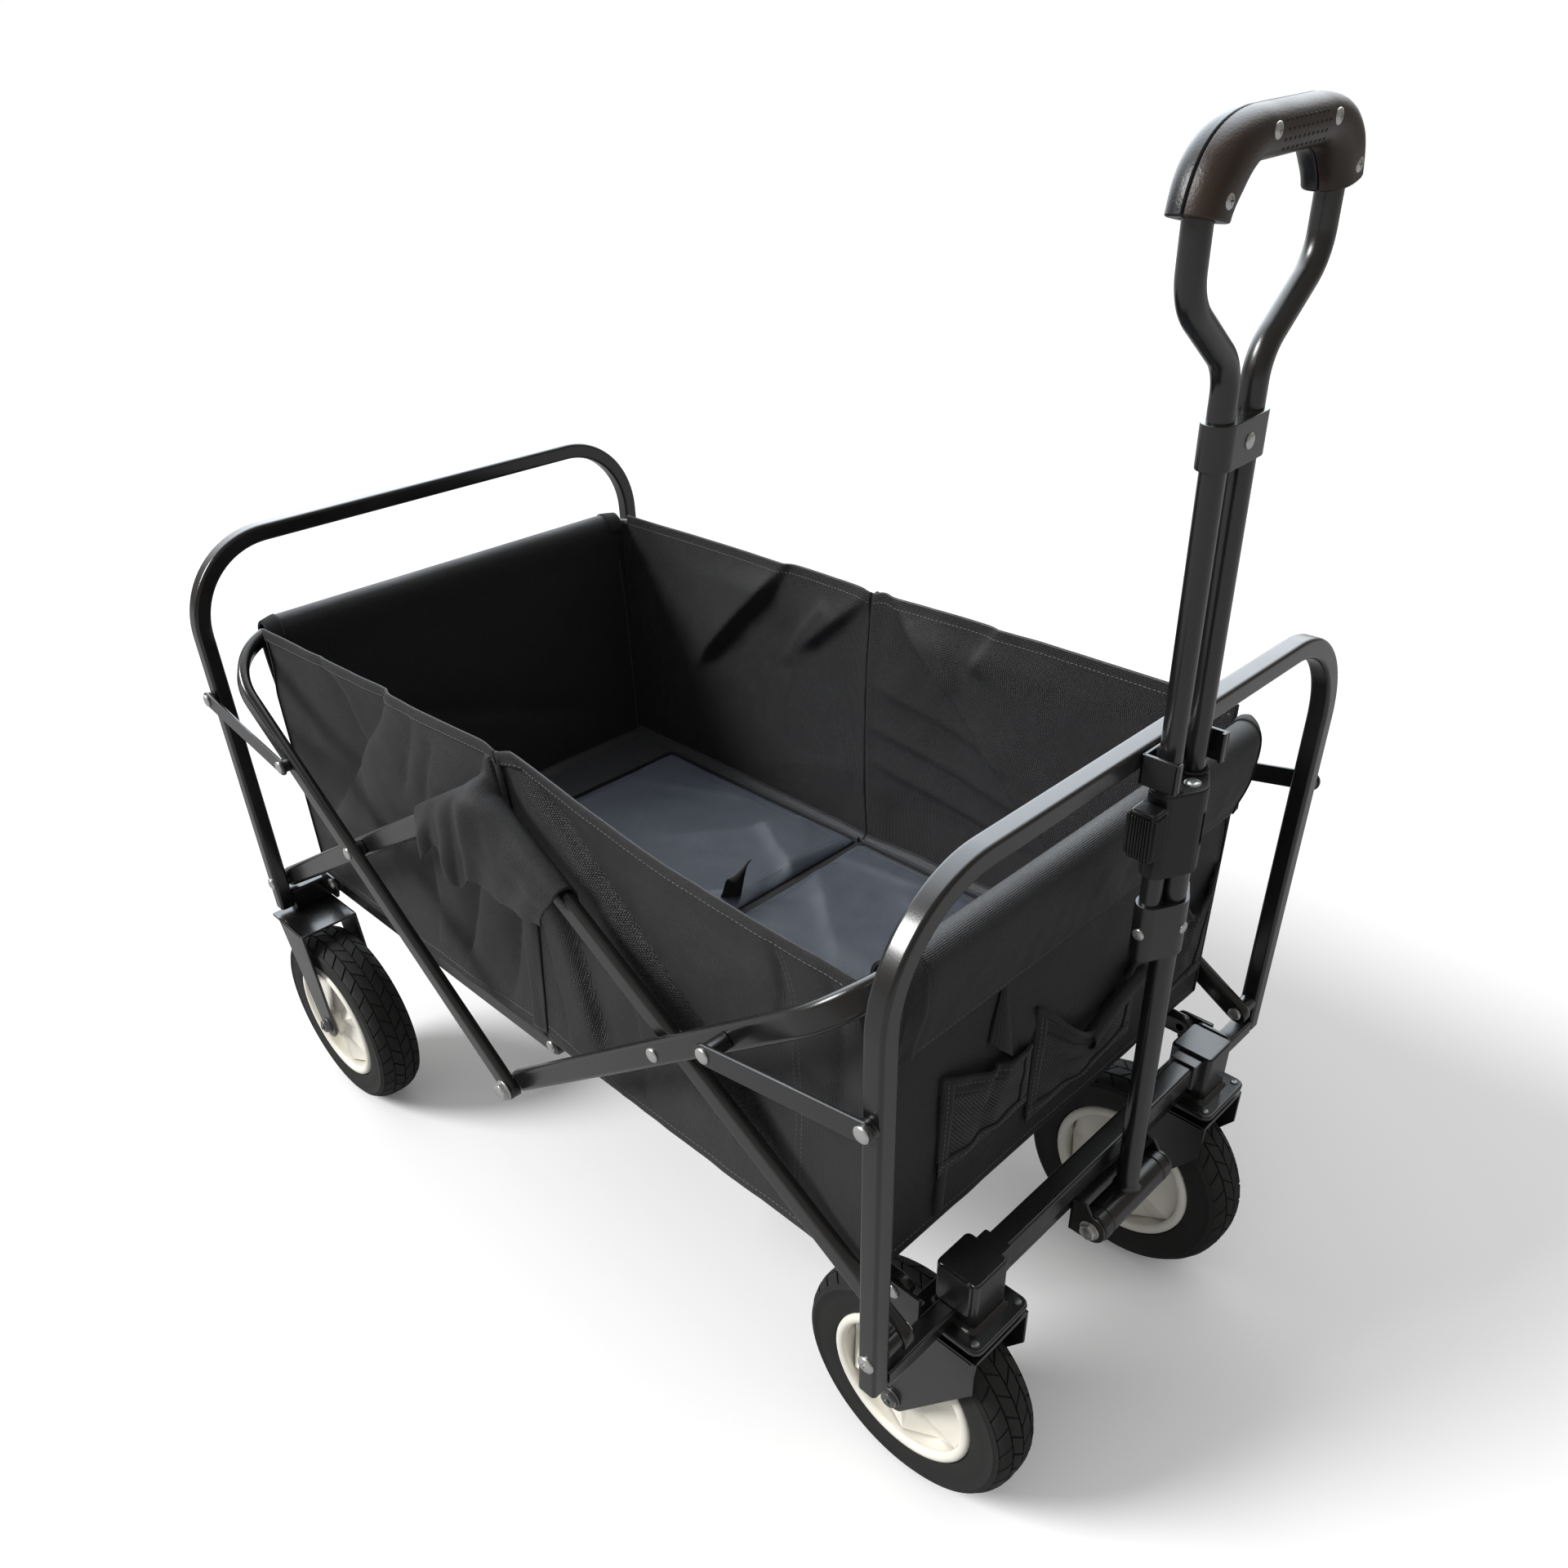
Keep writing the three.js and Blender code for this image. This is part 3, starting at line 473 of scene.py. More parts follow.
def clothFinish(name, colour, other, pitch, gloss, sheen, specular=0.5, relief=0.55):
    cloth = Finish(
        name, colour, 0.85, Specular_IOR_Level=specular, Sheen_Weight=sheen, Sheen_Roughness=0.45
    )
    cloth.roughen(cloth.noise(9, 4), *gloss)
    cloth.tint(cloth.weave(pitch, 0.0004, relief), other, 0.0, 0.9)
    cloth.tint(cloth.noise(620, 2), other, -0.4, 0.7)
    cloth.bump(cloth.noise(120, 4), 0.0009, 0.25)
    return cloth.material


blackPaint = hardFinish(
    "blackPowderPaint", "131313", "1a1a1a", (0.2, 0.34), (14, 4), (900, 2), (0.00012, 0.35), 0.3,
    Specular_IOR_Level=0.6, Coat_Weight=0.4, Coat_Roughness=0.16,
)
# The second, darker copy of the zinc finish is painted shade: the zinc axle bolts and caster plate
# screws sit low, in shadow.
zincPlate, darkZinc = [
    hardFinish(name, colour, None, gloss, (160, 4), (1200, 2), (0.0001, 0.3), 0.28, 0.8)
    for name, colour, gloss in (
        ("zincPlate", "c9cac8", (0.2, 0.38)), ("darkZinc", "77787a", (0.25, 0.42))
    )
]
tyreRubber = hardFinish(
    "tyreRubber", "1f1f1f", "2b2a29", (0.62, 0.85), (30, 5), (700, 3), (0.00025, 0.5), 0.72,
    worn=0.7, Specular_IOR_Level=0.35,
)
creamPlastic = hardFinish(
    "creamPlastic", "e9e6dc", "ddd9cc", (0.36, 0.52), (22, 4), (600, 2), (0.0001, 0.3), 0.42,
    worn=0.6, Specular_IOR_Level=0.5,
)
gripPlastic = plasticFinish("gripPlastic", "2a1f1b", "35291f", (0.3, 0.42))
gripBackPlastic = plasticFinish("gripBackPlastic", "17181a", "222326", (0.24, 0.36))
blockPlastic = plasticFinish("blockPlastic", "151515", "1e1e1e", (0.35, 0.5))
wovenCloth = clothFinish(
    "wovenCloth", "18181a", "28282a", 0.0013, (0.38, 0.58), 0.05, 0.42, 1.0
)
coatedCloth = clothFinish("coatedCloth", "444a55", "525a68", 0.0009, (0.28, 0.42), 0.1, 0.8)
trimCloth = clothFinish("trimWebbing", "131314", "242425", 0.0016, (0.7, 0.9), 0.1)
floorCloth = clothFinish("floorCloth", "25262a", "303237", 0.0009, (0.36, 0.5), 0.1, 0.6)
bindingCloth = clothFinish("matBinding", "22252b", "2e323a", 0.0016, (0.6, 0.8), 0.1)
netThread, seamThread, matThread = [
    Finish(name, colour, roughness).material
    for name, colour, roughness in (
        ("netThread", "48484a", 0.6), ("seamThread", "6c6c6e", 0.7), ("matThread", "5a616c", 0.7)
    )
]
print("finishes made")


# Geometry node trees

class Tree:
    def __init__(self, name, **inputs):
        self.tree = bpy.data.node_groups.new(name, "GeometryNodeTree")
        self.tree.is_modifier = True
        face = self.tree.interface
        face.new_socket("Geometry", in_out="OUTPUT", socket_type="NodeSocketGeometry")
        face.new_socket("Geometry", in_out="INPUT", socket_type="NodeSocketGeometry")
        self.ids = {}
        for label, kind in {**inputs, "Finish": "Material"}.items():
            made = face.new_socket(label, in_out="INPUT", socket_type="NodeSocket" + kind)
            self.ids[label] = made.identifier
        self.source = self.tree.nodes.new("NodeGroupInput").outputs

    def node(self, kind, *listed, **named):
        return addNode(self.tree, kind, *listed, **named).outputs[0]

    # The part on every point, turned.
    def placed(self, points, turn, **named):
        part = addNode(
            self.tree, "GeometryNodeObjectInfo", transform_space="ORIGINAL",
            Object=self.source["Part"],
        )
        return self.node(
            "GeometryNodeInstanceOnPoints", Points=points, Instance=part.outputs["Geometry"],
            Rotation=turn, **named,
        )

    def finish(self, geometry):
        real = self.node("GeometryNodeRealizeInstances", geometry)
        finish = self.source["Finish"]
        done = self.node("GeometryNodeSetMaterial", Geometry=real, Material=finish)
        wire(self.tree, done, self.tree.nodes.new("NodeGroupOutput").inputs[0])
        return self

    # Grows the tree on a mesh, and keeps the result as a plain mesh.
    def grow(self, name, bm, finish, **values):
        obj = objectOf(name, bm or bmesh.new(), finish, outward=False)
        grown = obj.modifiers.new(self.tree.name, "NODES")
        grown.node_group = self.tree
        for label, value in {**values, "Finish": finish}.items():
            grown[self.ids[label]] = value
        applied(obj)
        shadeSmooth(obj.data)
        return obj


# A part on every point, its own Z along the point's facing.
def partsOnPointsTree():
    made = Tree("partsOnPoints", Part="Object", Size="Float")
    facing = made.node(
        "GeometryNodeInputNamedAttribute", data_type="FLOAT_VECTOR", Name="facing"
    )
    turn = made.node("FunctionNodeAlignRotationToVector", axis="Z", Vector=facing)
    return made.finish(made.placed(made.source["Geometry"], turn, Scale=made.source["Size"]))


# A part repeated round the axle, which runs along Y through the centre.
def partsRoundAxleTree():
    made = Tree("partsRoundAxle", Part="Object", Count="Int", Centre="Vector")
    count = made.source["Count"]
    line = made.node("GeometryNodeMeshLine", Count=count, Offset=(0, 0, 0))
    index = made.node("GeometryNodeInputIndex")
    step = made.node("ShaderNodeMath", 2 * pi, count, operation="DIVIDE")
    angle = made.node("ShaderNodeMath", index, step, operation="MULTIPLY")
    placed = made.placed(line, made.node("ShaderNodeCombineXYZ", Y=angle))
    return made.finish(
        made.node("GeometryNodeTransform", Geometry=placed, Translation=made.source["Centre"])
    )


# A stitch at every pitch along a seam's line.
def stitchesTree():
    made = Tree("stitches", Part="Object", Pitch="Float")
    line = made.node("GeometryNodeMeshToCurve", Mesh=made.source["Geometry"])
    spaced = made.node(
        "GeometryNodeResampleCurve", mode="LENGTH", Curve=line, Length=made.source["Pitch"]
    )
    tangent = made.node("GeometryNodeInputTangent")
    turn = made.node("FunctionNodeAlignRotationToVector", axis="X", Vector=tangent)
    return made.finish(made.placed(spaced, turn))


# Threads along every edge of a grid.
def netTree():
    made = Tree("net", Thread="Float")
    line = made.node("GeometryNodeMeshToCurve", Mesh=made.source["Geometry"])
    ring = made.node(
        "GeometryNodeCurvePrimitiveCircle", Resolution=3, Radius=made.source["Thread"]
    )
    return made.finish(
        made.node("GeometryNodeCurveToMesh", Curve=line, Profile_Curve=ring)
    )


partsOnPoints, partsRoundAxle = partsOnPointsTree(), partsRoundAxleTree()
stitches, net = stitchesTree(), netTree()
patterns = []  # parts that the trees repeat, taken away at the end
unshifted = Matrix.Translation((-middleX, 0, 0))


def patternPart(name, bm, finish):
    obj = objectOf(name, bm, finish, unshifted)
    patterns.append(obj)
    return obj


fastener = {
    "headRadius": 0.0065,
    "rivetRadius": 0.00572,
    "rivetHeight": 0.0024,
    "screwHeight": 0.0026,
    "recess": (0.0014, 0.0031),  # width and reach of the screw's cross
    "boltAcross": 0.0130,
    "boltHeight": 0.0055,
    "washerRadius": 0.0088,
    "washerThick": 0.0013,
    "pinRadius": 0.007,
}


def domeHead(name, radius, high, rim):
    turns = [radians(t) for t in (0, 22, 45, 68, 90)]
    dome = [(radius * cos(t), rim + (high - rim) * sin(t)) for t in turns]
    bm = bmesh.new()
    lathe(bm, [(radius * 0.97, -0.0004), (radius, 0.0001)] + dome, middle, alongZ, 28)
    return patternPart(name, bm, zincPlate)


def screwHead():
    top = fastener["screwHeight"]
    obj = domeHead("screwHead", fastener["headRadius"], top, 0.0006)
    wide, reach = fastener["recess"]
    for x, y in ((reach, wide / 2), (wide / 2, reach)):
        slot = bmesh.new()
        roundBox(slot, (-x, x), (-y, y), (top - 0.0013, top + 0.002), 0.0002)
        cutAway(obj, slot, unshifted)
    return obj


# A hexagon head on a flange, with its corners turned off.
def boltHead(name, nut):
    bm = bmesh.new()
    flat, high = fastener["boltAcross"] / 2, fastener["boltHeight"]
    low, flange = fastener["washerThick"], fastener["washerRadius"]
    lathe(
        bm,
        [(flange * 0.96, -0.0002), (flange, 0.0003), (flange, low - 0.0004),
         (flange * 0.95, low), (0, low)],
        middle, alongZ, 32,
    )
    rings = []
    for z, share, roundness in (
        (low, 1.0, 0.0), (high - 0.0011, 1.0, 0.0), (high - 0.0004, 0.97, 0.6), (high, 0.88, 1.0),
    ):
        ring = []
        for i in range(36):
            t = 2 * pi * i / 36
            near = (t + pi / 6) % (pi / 3) - pi / 6
            hexagon = flat / cos(near)
            r = share * (hexagon * (1 - roundness) + flat * roundness)
            ring.append(Vector((r * cos(t), r * sin(t), z)))
        rings.append(ring)
    if nut:  # the bolt's end stands out of it
        top = rings[-1]
        for share, z in ((0.5, high), (0.5, high + 0.0012), (0.38, high + 0.0018)):
            rings.append([Vector((p.x * share, p.y * share, z)) for p in top])
    loft(bm, rings)
    return patternPart(name, bm, zincPlate)


def stitchPart(long, radius):
    bm = bmesh.new()
    profile = [
        (radius * 0.5, -long / 2), (radius, -long * 0.3), (radius, long * 0.3),
        (radius * 0.5, long / 2),
    ]
    lathe(bm, profile, middle, alongX, 5)
    return patternPart("stitch", bm, seamThread)


screw = screwHead()
rivet = domeHead("rivetHead", fastener["rivetRadius"], fastener["rivetHeight"], 0.0009)
bolt, nut = boltHead("boltHead", False), boltHead("nut", True)
stitch = stitchPart(0.0026, 0.00028)


# Heads at (place, facing) on one body.
def heads(name, body, part, places, size=1.0, nodes=(), finish=zincPlate):
    bm = bmesh.new()
    facing = bm.verts.layers.float_vector.new("facing")
    for place, out in places:
        bm.verts.new(place)[facing] = out
    obj = partsOnPoints.grow(name, bm, finish, Part=part, Size=size)
    settle(obj, body, nodes)


# Places on both sides of a centre, which face out from it or back to it
def bothSides(x, y, z, way=1, centre=0):
    return [((x, centre + side * y, z), (0, side * way, 0)) for side in sides]


def pinTurned(bm, x, z, ys, radius):
    low, high = sorted(ys)
    edge = 0.0004
    lathe(
        bm,
        [(radius - edge, low), (radius, low + edge), (radius, high - edge), (radius - edge, high)],
        (x, 0, z), alongY, 28,
    )


def pinPair(bm, x, z, y0, y1, radius=fastener["pinRadius"]):
    for side in sides:
        pinTurned(bm, x, z, (side * y0, side * y1), radius)


def spacers(name, bm, body):
    settle(objectOf(name, bm, blackPaint), body)


print("patterns made")


# End frames: one bent square tube each, with a plug in each foot
endFrame = {"corner": 0.003, "bend": 0.078, "plugProud": 0.0012, "wall": 0.0016}


def makeEndFrame(end):
    bm = bmesh.new()
    x, name, body = end * halfSpan, endName[end], f"{endName[end]}_base"
    corners = [(x, -legY, legFoot), (x, -legY, frameTop), (x, legY, frameTop), (x, legY, legFoot)]
    path = bentPath(corners, endFrame["bend"], 22)
    sweep(bm, path, roundRect(legTube, legTube, endFrame["corner"], 5), alongX)
    inside = legTube / 2 - endFrame["wall"]
    plug = (legFoot - endFrame["plugProud"], legFoot + 0.004)
    for side in sides:
        roundBox(bm, about(x, inside), about(side * legY, inside), plug, 0.0006, 0.0014)
    painted(f"{name}FrameTube", bm, body, [f"{name}_frame"])

    legIn, legOut = legY - legTube / 2, legY + legTube / 2
    armIn, armOut = armY[end] - tubeWide / 2, armY[end] + tubeWide / 2
    bm = bmesh.new()
    pinPair(bm, x, lowPinZ, legIn, armOut)
    pinPair(bm, x, linkPinZ, legOut, linkY - clear)
    spacers(f"{name}FrameWashers", bm, body)
    heads(f"{name}FrameScrews", body, screw, bothSides(x, legOut, lowPinZ))
    inner = bothSides(x, armIn - clear, lowPinZ, -1)
    outer = bothSides(x, linkY + linkThick + clear, linkPinZ)
    heads(f"{name}FrameRivets", body, rivet, inner + outer)


# Scissor tubes
ovalSection = roundRect(tubeWide, tubeTall, 0.0045, 6)


def straightTube(bm, a, b):
    a, b = Vector(a), Vector(b)
    ahead = (b - a).normalized()
    up, more = Vector((-ahead.z, 0, ahead.x)), ahead * (tubeTall / 2)
    sweep(bm, [a - more, b + more], ovalSection, up, tubeTall / 2)


def makeArms(end):
    name, body = endName[end], f"{endName[end]}_arms"
    for side in sides:
        bm = bmesh.new()
        y = side * armY[end]
        straightTube(bm, (end * halfSpan, y, lowPinZ), (0, y, topPinZ))
        painted(f"{name}Arm{sideTitle[side]}", bm, body, [f"{name}_arm_{sideName[side]}"])
    if end > 0:  # the rivets' outer ends are flush, under the flaps
        inner = bothSides(0, armY[end] - tubeWide / 2, topPinZ, -1)
        heads("frontArmRivets", body, rivet, inner, 0.9)


bailBend = 0.060


def makeBail(end):
    name, body, y = endName[end], f"{endName[end]}_bail", bailY[end]
    ahead = Vector((end, 0, bailSlope)).normalized()
    foot = Vector((0, 0, midPinZ)) - ahead * tubeTall / 2
    top = Vector((0, 0, midPinZ)) + ahead * (bailReach * hypot(1, bailSlope))
    corners = [foot - alongY * y, top - alongY * y, top + alongY * y, foot + alongY * y]
    bm = bmesh.new()
    path = bentPath(corners, bailBend, 22)
    sweep(bm, path, ovalSection, ahead.cross(alongY), tubeTall / 2)
    painted(f"{name}BailTube", bm, body, [f"{name}_bail"])
    x, half = end * crossX, tubeWide / 2
    bm = bmesh.new()
    pinPair(bm, x, crossZ, y - half, armY[end] + half + clear)
    spacers(f"{name}BailWashers", bm, body)
    inner = bothSides(x, armY[end] - half - clear, crossZ, -1)
    heads(f"{name}BailRivets", body, rivet, bothSides(x, y + half, crossZ) + inner)


# The bolts that join the bails at the bottom of the scissors ride with the rear bail.
def makeBailBolts():
    outer = bothSides(0, bailY[-1] + tubeWide / 2 + clear, midPinZ)
    inner = bothSides(0, bailY[1] - tubeWide / 2 - clear, midPinZ, -1)
    heads("bailBolts", "rear_bail", bolt, outer, 1.1, ["bail_bolt_left", "bail_bolt_right"])
    heads("bailNuts", "rear_bail", nut, inner, 0.82)


def makeLinks(end):
    name, body = endName[end], f"{endName[end]}_links"
    x, z = end * linkX, midPinZ + bailSlope * linkX
    outline = barOutline((end * halfSpan, linkPinZ), (x, z), 0.016, 12)
    for side in sides:
        bm = bmesh.new()
        plate(bm, outline, inXZ, (side * linkY, side * (linkY + linkThick)))
        painted(f"{name}Link{sideTitle[side]}", bm, body, [f"{name}_link_{sideName[side]}"])
    bm = bmesh.new()
    pinPair(bm, x, z, bailY[end] + tubeWide / 2 + clear, linkY, 0.006)
    spacers(f"{name}LinkSpacers", bm, body)
    heads(f"{name}LinkRivets", body, rivet, bothSides(x, linkY + linkThick, z))


for end in ends:
    makeEndFrame(end)
    makeArms(end)
    makeBail(end)
    makeLinks(end)
makeBailBolts()
print("scissor frame made")


# Floor frame
floorFrame = {
    "crosses": (0.104, halfSpan - 0.059),
    "crossTall": 0.014,
    "crossWide": 0.016,
    "earThick": 0.003,
    "earRound": 0.009,
}


def makeFloorFrame(end):
    name, y = endName[end], floorY[end]
    bm = bmesh.new()
    for side in sides:
        straightTube(bm, (end * floorPinX, side * y, floorPinZ), (0, side * y, floorPinZ))
    low, high = about(floorPinZ, floorFrame["crossTall"] / 2)
    for cross in floorFrame["crosses"]:
        crossBar(bm, end * cross, y - 0.004, low, high, floorFrame["crossWide"], 0.0025)
    body = f"{name}_floor"
    painted(f"{name}FloorFrame", bm, body, [f"{name}_floor_frame"])
    places = bothSides(0, y - end * tubeWide / 2, floorPinZ, -end)
    heads(f"{name}FloorBolts", body, rivet, places)


# Ears on a cross member carry the floor frame's outer pivots.
def floorEars(bm, end, faceX, low):
    near, reach = floorY[end] + tubeWide / 2 + clear, floorFrame["earRound"]
    x, back, top = end * floorPinX, faceX + end * 0.001, floorPinZ + reach
    corners = [
        (back, low, 0.001), (x - end * 0.004, low, 0.004),
        (x - end * reach, floorPinZ - 0.004, 0.004), (x - end * reach, top, 0.006),
        (back, top, 0.001),
    ]
    outline = filleted(corners[::-end])
    far = near + floorFrame["earThick"]
    for side in sides:
        plate(bm, outline, inXZ, (side * near, side * far), 0.0006)
    pinPair(bm, x, floorPinZ, near + 0.001, floorY[end] - tubeWide / 2, 0.004)


# The cross members at the legs' feet; heights are from the feet.
lowerCross = {
    -1: {
        "names": ("rearCrossTube", "rear_cross_tube"),
        "heights": (-0.0067, 0.018),
        "ears": 0.010,  # how far above its lower face the ears start
        "section": (0.016, 0.0022),
    },
    1: {
        "names": ("frontLowerBar", "front_lower_bar"),
        "heights": (-0.0027, 0.011),
        "ears": 0.0,
        "section": (legTube, 0.002),
    },
}


def makeLowerCross(end):
    spec = lowerCross[end]
    (name, node), (wide, corner) = spec["names"], spec["section"]
    low, high = (legFoot + height for height in spec["heights"])
    bm = bmesh.new()
    crossBar(bm, end * halfSpan, legY - legTube / 2 - clear, low, high, wide, corner)
    floorEars(bm, end, end * (halfSpan - wide / 2), low + spec["ears"])
    body = f"{endName[end]}_base"
    painted(name, bm, body, [node])
    y = floorY[end] + tubeWide / 2 + clear + floorFrame["earThick"]
    places = bothSides(end * floorPinX, y, floorPinZ)
    heads(f"{endName[end]}FloorScrews", body, rivet, places)


# Caster mounts: a post on a square plate, with a band round the upper tube where it goes in, and a
# cover plate on the post's outer cheek
casterMount = {
    "post": 0.036,
    "postTop": legFoot + 0.043,
    "plate": 0.062,
    "plateThick": 0.005,
    "plateZ": 2 * tyreRadius + 0.014,
    "corner": 0.007,
    "tube": (legFoot + 0.018, legFoot + 0.038),  # the upper tube, low and high
    "tubeWide": 0.018,
    "collar": ((0.0, 0.0034), (0.0012, 0.0014), (0.0034, 0.0001)),  # how wide and high it rolls
    "band": (0.012, 0.0025),  # the clamp band's reach along the tube, and its thickness
    "nut": [(0.0088, -0.0147), (0.0098, -0.0139), (0.0098, -0.0112), (0.0088, -0.0104)],
    "cheek": (0.028, 0.032, 0.0028),  # the cover plate's width, height and thickness
    "screwInset": 0.007,
}


def makeUpperTube():
    bm = bmesh.new()
    reach = casterY - casterMount["post"] / 2 + 0.012
    crossBar(bm, swivelX, reach, *casterMount["tube"], casterMount["tubeWide"], 0.0025)
    painted("frontUpperTube", bm, "front_base", ["front_upper_tube"])


def makeCasterMount(side):
    x, y, name = swivelX, side * casterY, sideName[side]
    half, reach = casterMount["post"] / 2, casterMount["plate"] / 2
    foot, postTop = casterMount["plateZ"], casterMount["postTop"]
    top = foot + casterMount["plateThick"]
    bm = bmesh.new()
    square = about(x, reach), about(y, reach)
    roundBox(bm, *square, (foot, top), 0.0016, casterMount["corner"], 3)
    roundBox(bm, about(x, half), about(y, half), (top - 0.001, postTop), 0.0022, 0.004, 3)
    # a rolled collar round the post's foot, where it is welded to the plate
    rings = []
    for grow, lift in casterMount["collar"]:
        outline = roundRect(2 * (half + grow), 2 * (half + grow), 0.004 + grow)
        rings.append([Vector((x + a, y + b, top + lift)) for a, b in outline])
    loft(bm, rings)
    # clamp band round the upper tube where it goes into the post
    inward = y - side * half
    (low, high), (reachIn, thick) = casterMount["tube"], casterMount["band"]
    band = (inward - side * reachIn, inward + side * 0.001)
    zs = (low - thick + 0.0003, high + thick - 0.0003)
    roundBox(bm, about(x, casterMount["tubeWide"] / 2 + thick), band, zs, 0.0012, 0.002)
    # swivel bolt under the plate
    lathe(bm, [(0.006, -0.011), (0.006, 0.001)], (x, y, foot), alongZ, 24)
    lathe(bm, casterMount["nut"], (x, y, foot), alongZ, 6)
    painted(f"casterMount{sideTitle[side]}", bm, "front_base", [f"caster_mount_{name}"])
    # cover plate on the post's outer cheek
    wide, tall, thick = casterMount["cheek"]
    cheek, high = y + side * half, postTop + 0.001
    bm = bmesh.new()
    outline = squareOutline(about(x, wide / 2), (high - tall, high), 0.003, 0.004)
    plate(bm, outline, inXZ, (cheek - side * 0.0004, cheek + side * thick))
    painted(f"postCheek{sideTitle[side]}", bm, "front_base")
    inset = reach - casterMount["screwInset"]
    places = [((x + a * inset, y + b * inset, top), (0, 0, 1)) for a in sides for b in sides]
    # these zinc screws take the darker zinc copy, which is painted shade
    heads(
        f"casterPlateScrews{sideTitle[side]}", "front_base", rivet, places, 0.55, finish=darkZinc
    )


forkTop, shelfZ = casterMount["plateZ"] - 0.006, 2 * tyreRadius + 0.012
forkFront, shelfBack = swivelX + 0.030, -halfSpan - 0.008
forkGap = (tyreWide / 2 + 0.005, tyreWide / 2 + 0.008)  # inner and outer faces of the arms
forks = {
    "caster": {
        "y": casterY,
        "axleX": frontAxleX,
        "corners": [
            (forkFront, forkTop - 0.034), (forkFront, forkTop), (swivelX - 0.028, forkTop)
        ],
        "tip": (0.014, 165, 306),
        "top": ((swivelX - 0.028, forkFront), (forkTop - 0.004, forkTop), 0.0012, 0.003),
        # ball race in two pressed rings
        "race": [
            (0.020, -0.0008), (0.0248, -0.0004), (0.0256, 0.0012), (0.0248, 0.0024),
            (0.0228, 0.0028), (0.0228, 0.0034), (0.0244, 0.0040), (0.0244, 0.0052),
            (0.0225, 0.0057),
        ],
    },
    "rear": {
        "y": rearWheelY,
        "axleX": rearAxleX,
        "corners": [(rearAxleX - 0.001, shelfZ + 0.003), (shelfBack + 0.014, shelfZ + 0.003)],
        "tip": (0.015, 180, 360),
        "top": ((shelfBack, rearAxleX - 0.001), (shelfZ, shelfZ + 0.003), 0.0009, 0.002),
    },
}


def makeFork(kind, side):
    spec, name, title = forks[kind], sideName[side], sideTitle[side]
    y, axleX, (xs, zs, edge, corner) = side * spec["y"], spec["axleX"], spec["top"]
    body = "rear_base" if kind == "rear" else f"caster_{name}"
    outline = spec["corners"] + arc((axleX, tyreRadius), *spec["tip"], 12)
    inner, outer = forkGap
    bm = bmesh.new()
    for way in ends:
        plate(bm, outline, inXZ, (y + way * inner, y + way * outer), 0.0009)
    roundBox(bm, xs, about(y, outer), zs, edge, corner)
    if "race" in spec:
        lathe(bm, spec["race"], (swivelX, y, forkTop), alongZ, 48)
    painted(f"{kind}Fork{title}", bm, body, [f"{kind}_fork_{name}"])
    bm = bmesh.new()
    pinTurned(bm, axleX, tyreRadius, about(y, outer + 0.001), 0.005)
    # the zinc axle and its nuts take the darker zinc copy, which is painted shade
    settle(objectOf(f"{kind}Axle{title}", bm, darkZinc), body, [f"{kind}_axle_{name}"])
    places = bothSides(axleX, outer, tyreRadius, centre=y)
    heads(f"{kind}Axle{title}Heads", body, nut, places, finish=darkZinc)


for end in ends:
    makeFloorFrame(end)
    makeLowerCross(end)
makeUpperTube()
for side in sides:
    makeCasterMount(side)
    makeFork("caster", side)
    makeFork("rear", side)
print("floor frame, cross members and forks made")


# Tyres: a turned carcass with tread blocks set on it
tyre = {
    "blocks": 34,  # blocks round the tread
    "lugHigh": 0.0017,
    "groove": 0.0022,
    "skew": 0.5,  # how far a shoulder block leans, in blocks
    "sidewallRing": 0.089,
    "shoulder": 0.009,  # how far the tread falls at its edge
}


def tyreRadiusAt(y):
    share = min(1.0, abs(y) / (tyreWide / 2))
    return tyreRadius - tyre["lugHigh"] - 0.0008 - tyre["shoulder"] * share**3.2


# Copies of a pattern round a wheel's axle
def ringOf(name, pattern, count, x, y, body, finish):
    obj = partsRoundAxle.grow(
        name, None, finish, Part=pattern, Count=count, Centre=(x + middleX, y, tyreRadius)
    )
    return settle(obj, body)


def makeTyre(kind, side, x, y, body):
    half, ring = tyreWide / 2, tyre["sidewallRing"]
    outer = [(tyreRadiusAt(half * s), half * s) for s in (0.93, 0.82, 0.68, 0.5, 0.25, 0.0)]
    wall = [
        (rimRadius + 0.0004, half - 0.0036), (rimRadius + 0.0016, half - 0.0016),
        (rimRadius + 0.006, half - 0.0006), (0.080, half - 0.0002),
        (ring - 0.003, half - 0.0006), (ring - 0.0016, half + 0.0002), (ring, half + 0.0003),
        (ring + 0.0012, half - 0.0008), (0.0925, half - 0.0016),
    ]
    profile = mirrored(wall + outer)
    del profile[len(wall) + len(outer)]  # the crown is in both halves
    profile += [(rimRadius + 0.0002, -half + 0.008), (rimRadius + 0.0002, half - 0.008)]
    bm = bmesh.new()
    lathe(bm, profile, (x, y, tyreRadius), alongY, 96, closed=True)
    name = f"{kind}Tyre{sideTitle[side]}"
    carcass = objectOf(name, bm, tyreRubber)
    settle(carcass, body, [f"{kind}_tyre_{sideName[side]}"])
    ringOf(f"{name}Tread", treadPattern, tyre["blocks"], x, y, body, tyreRubber)


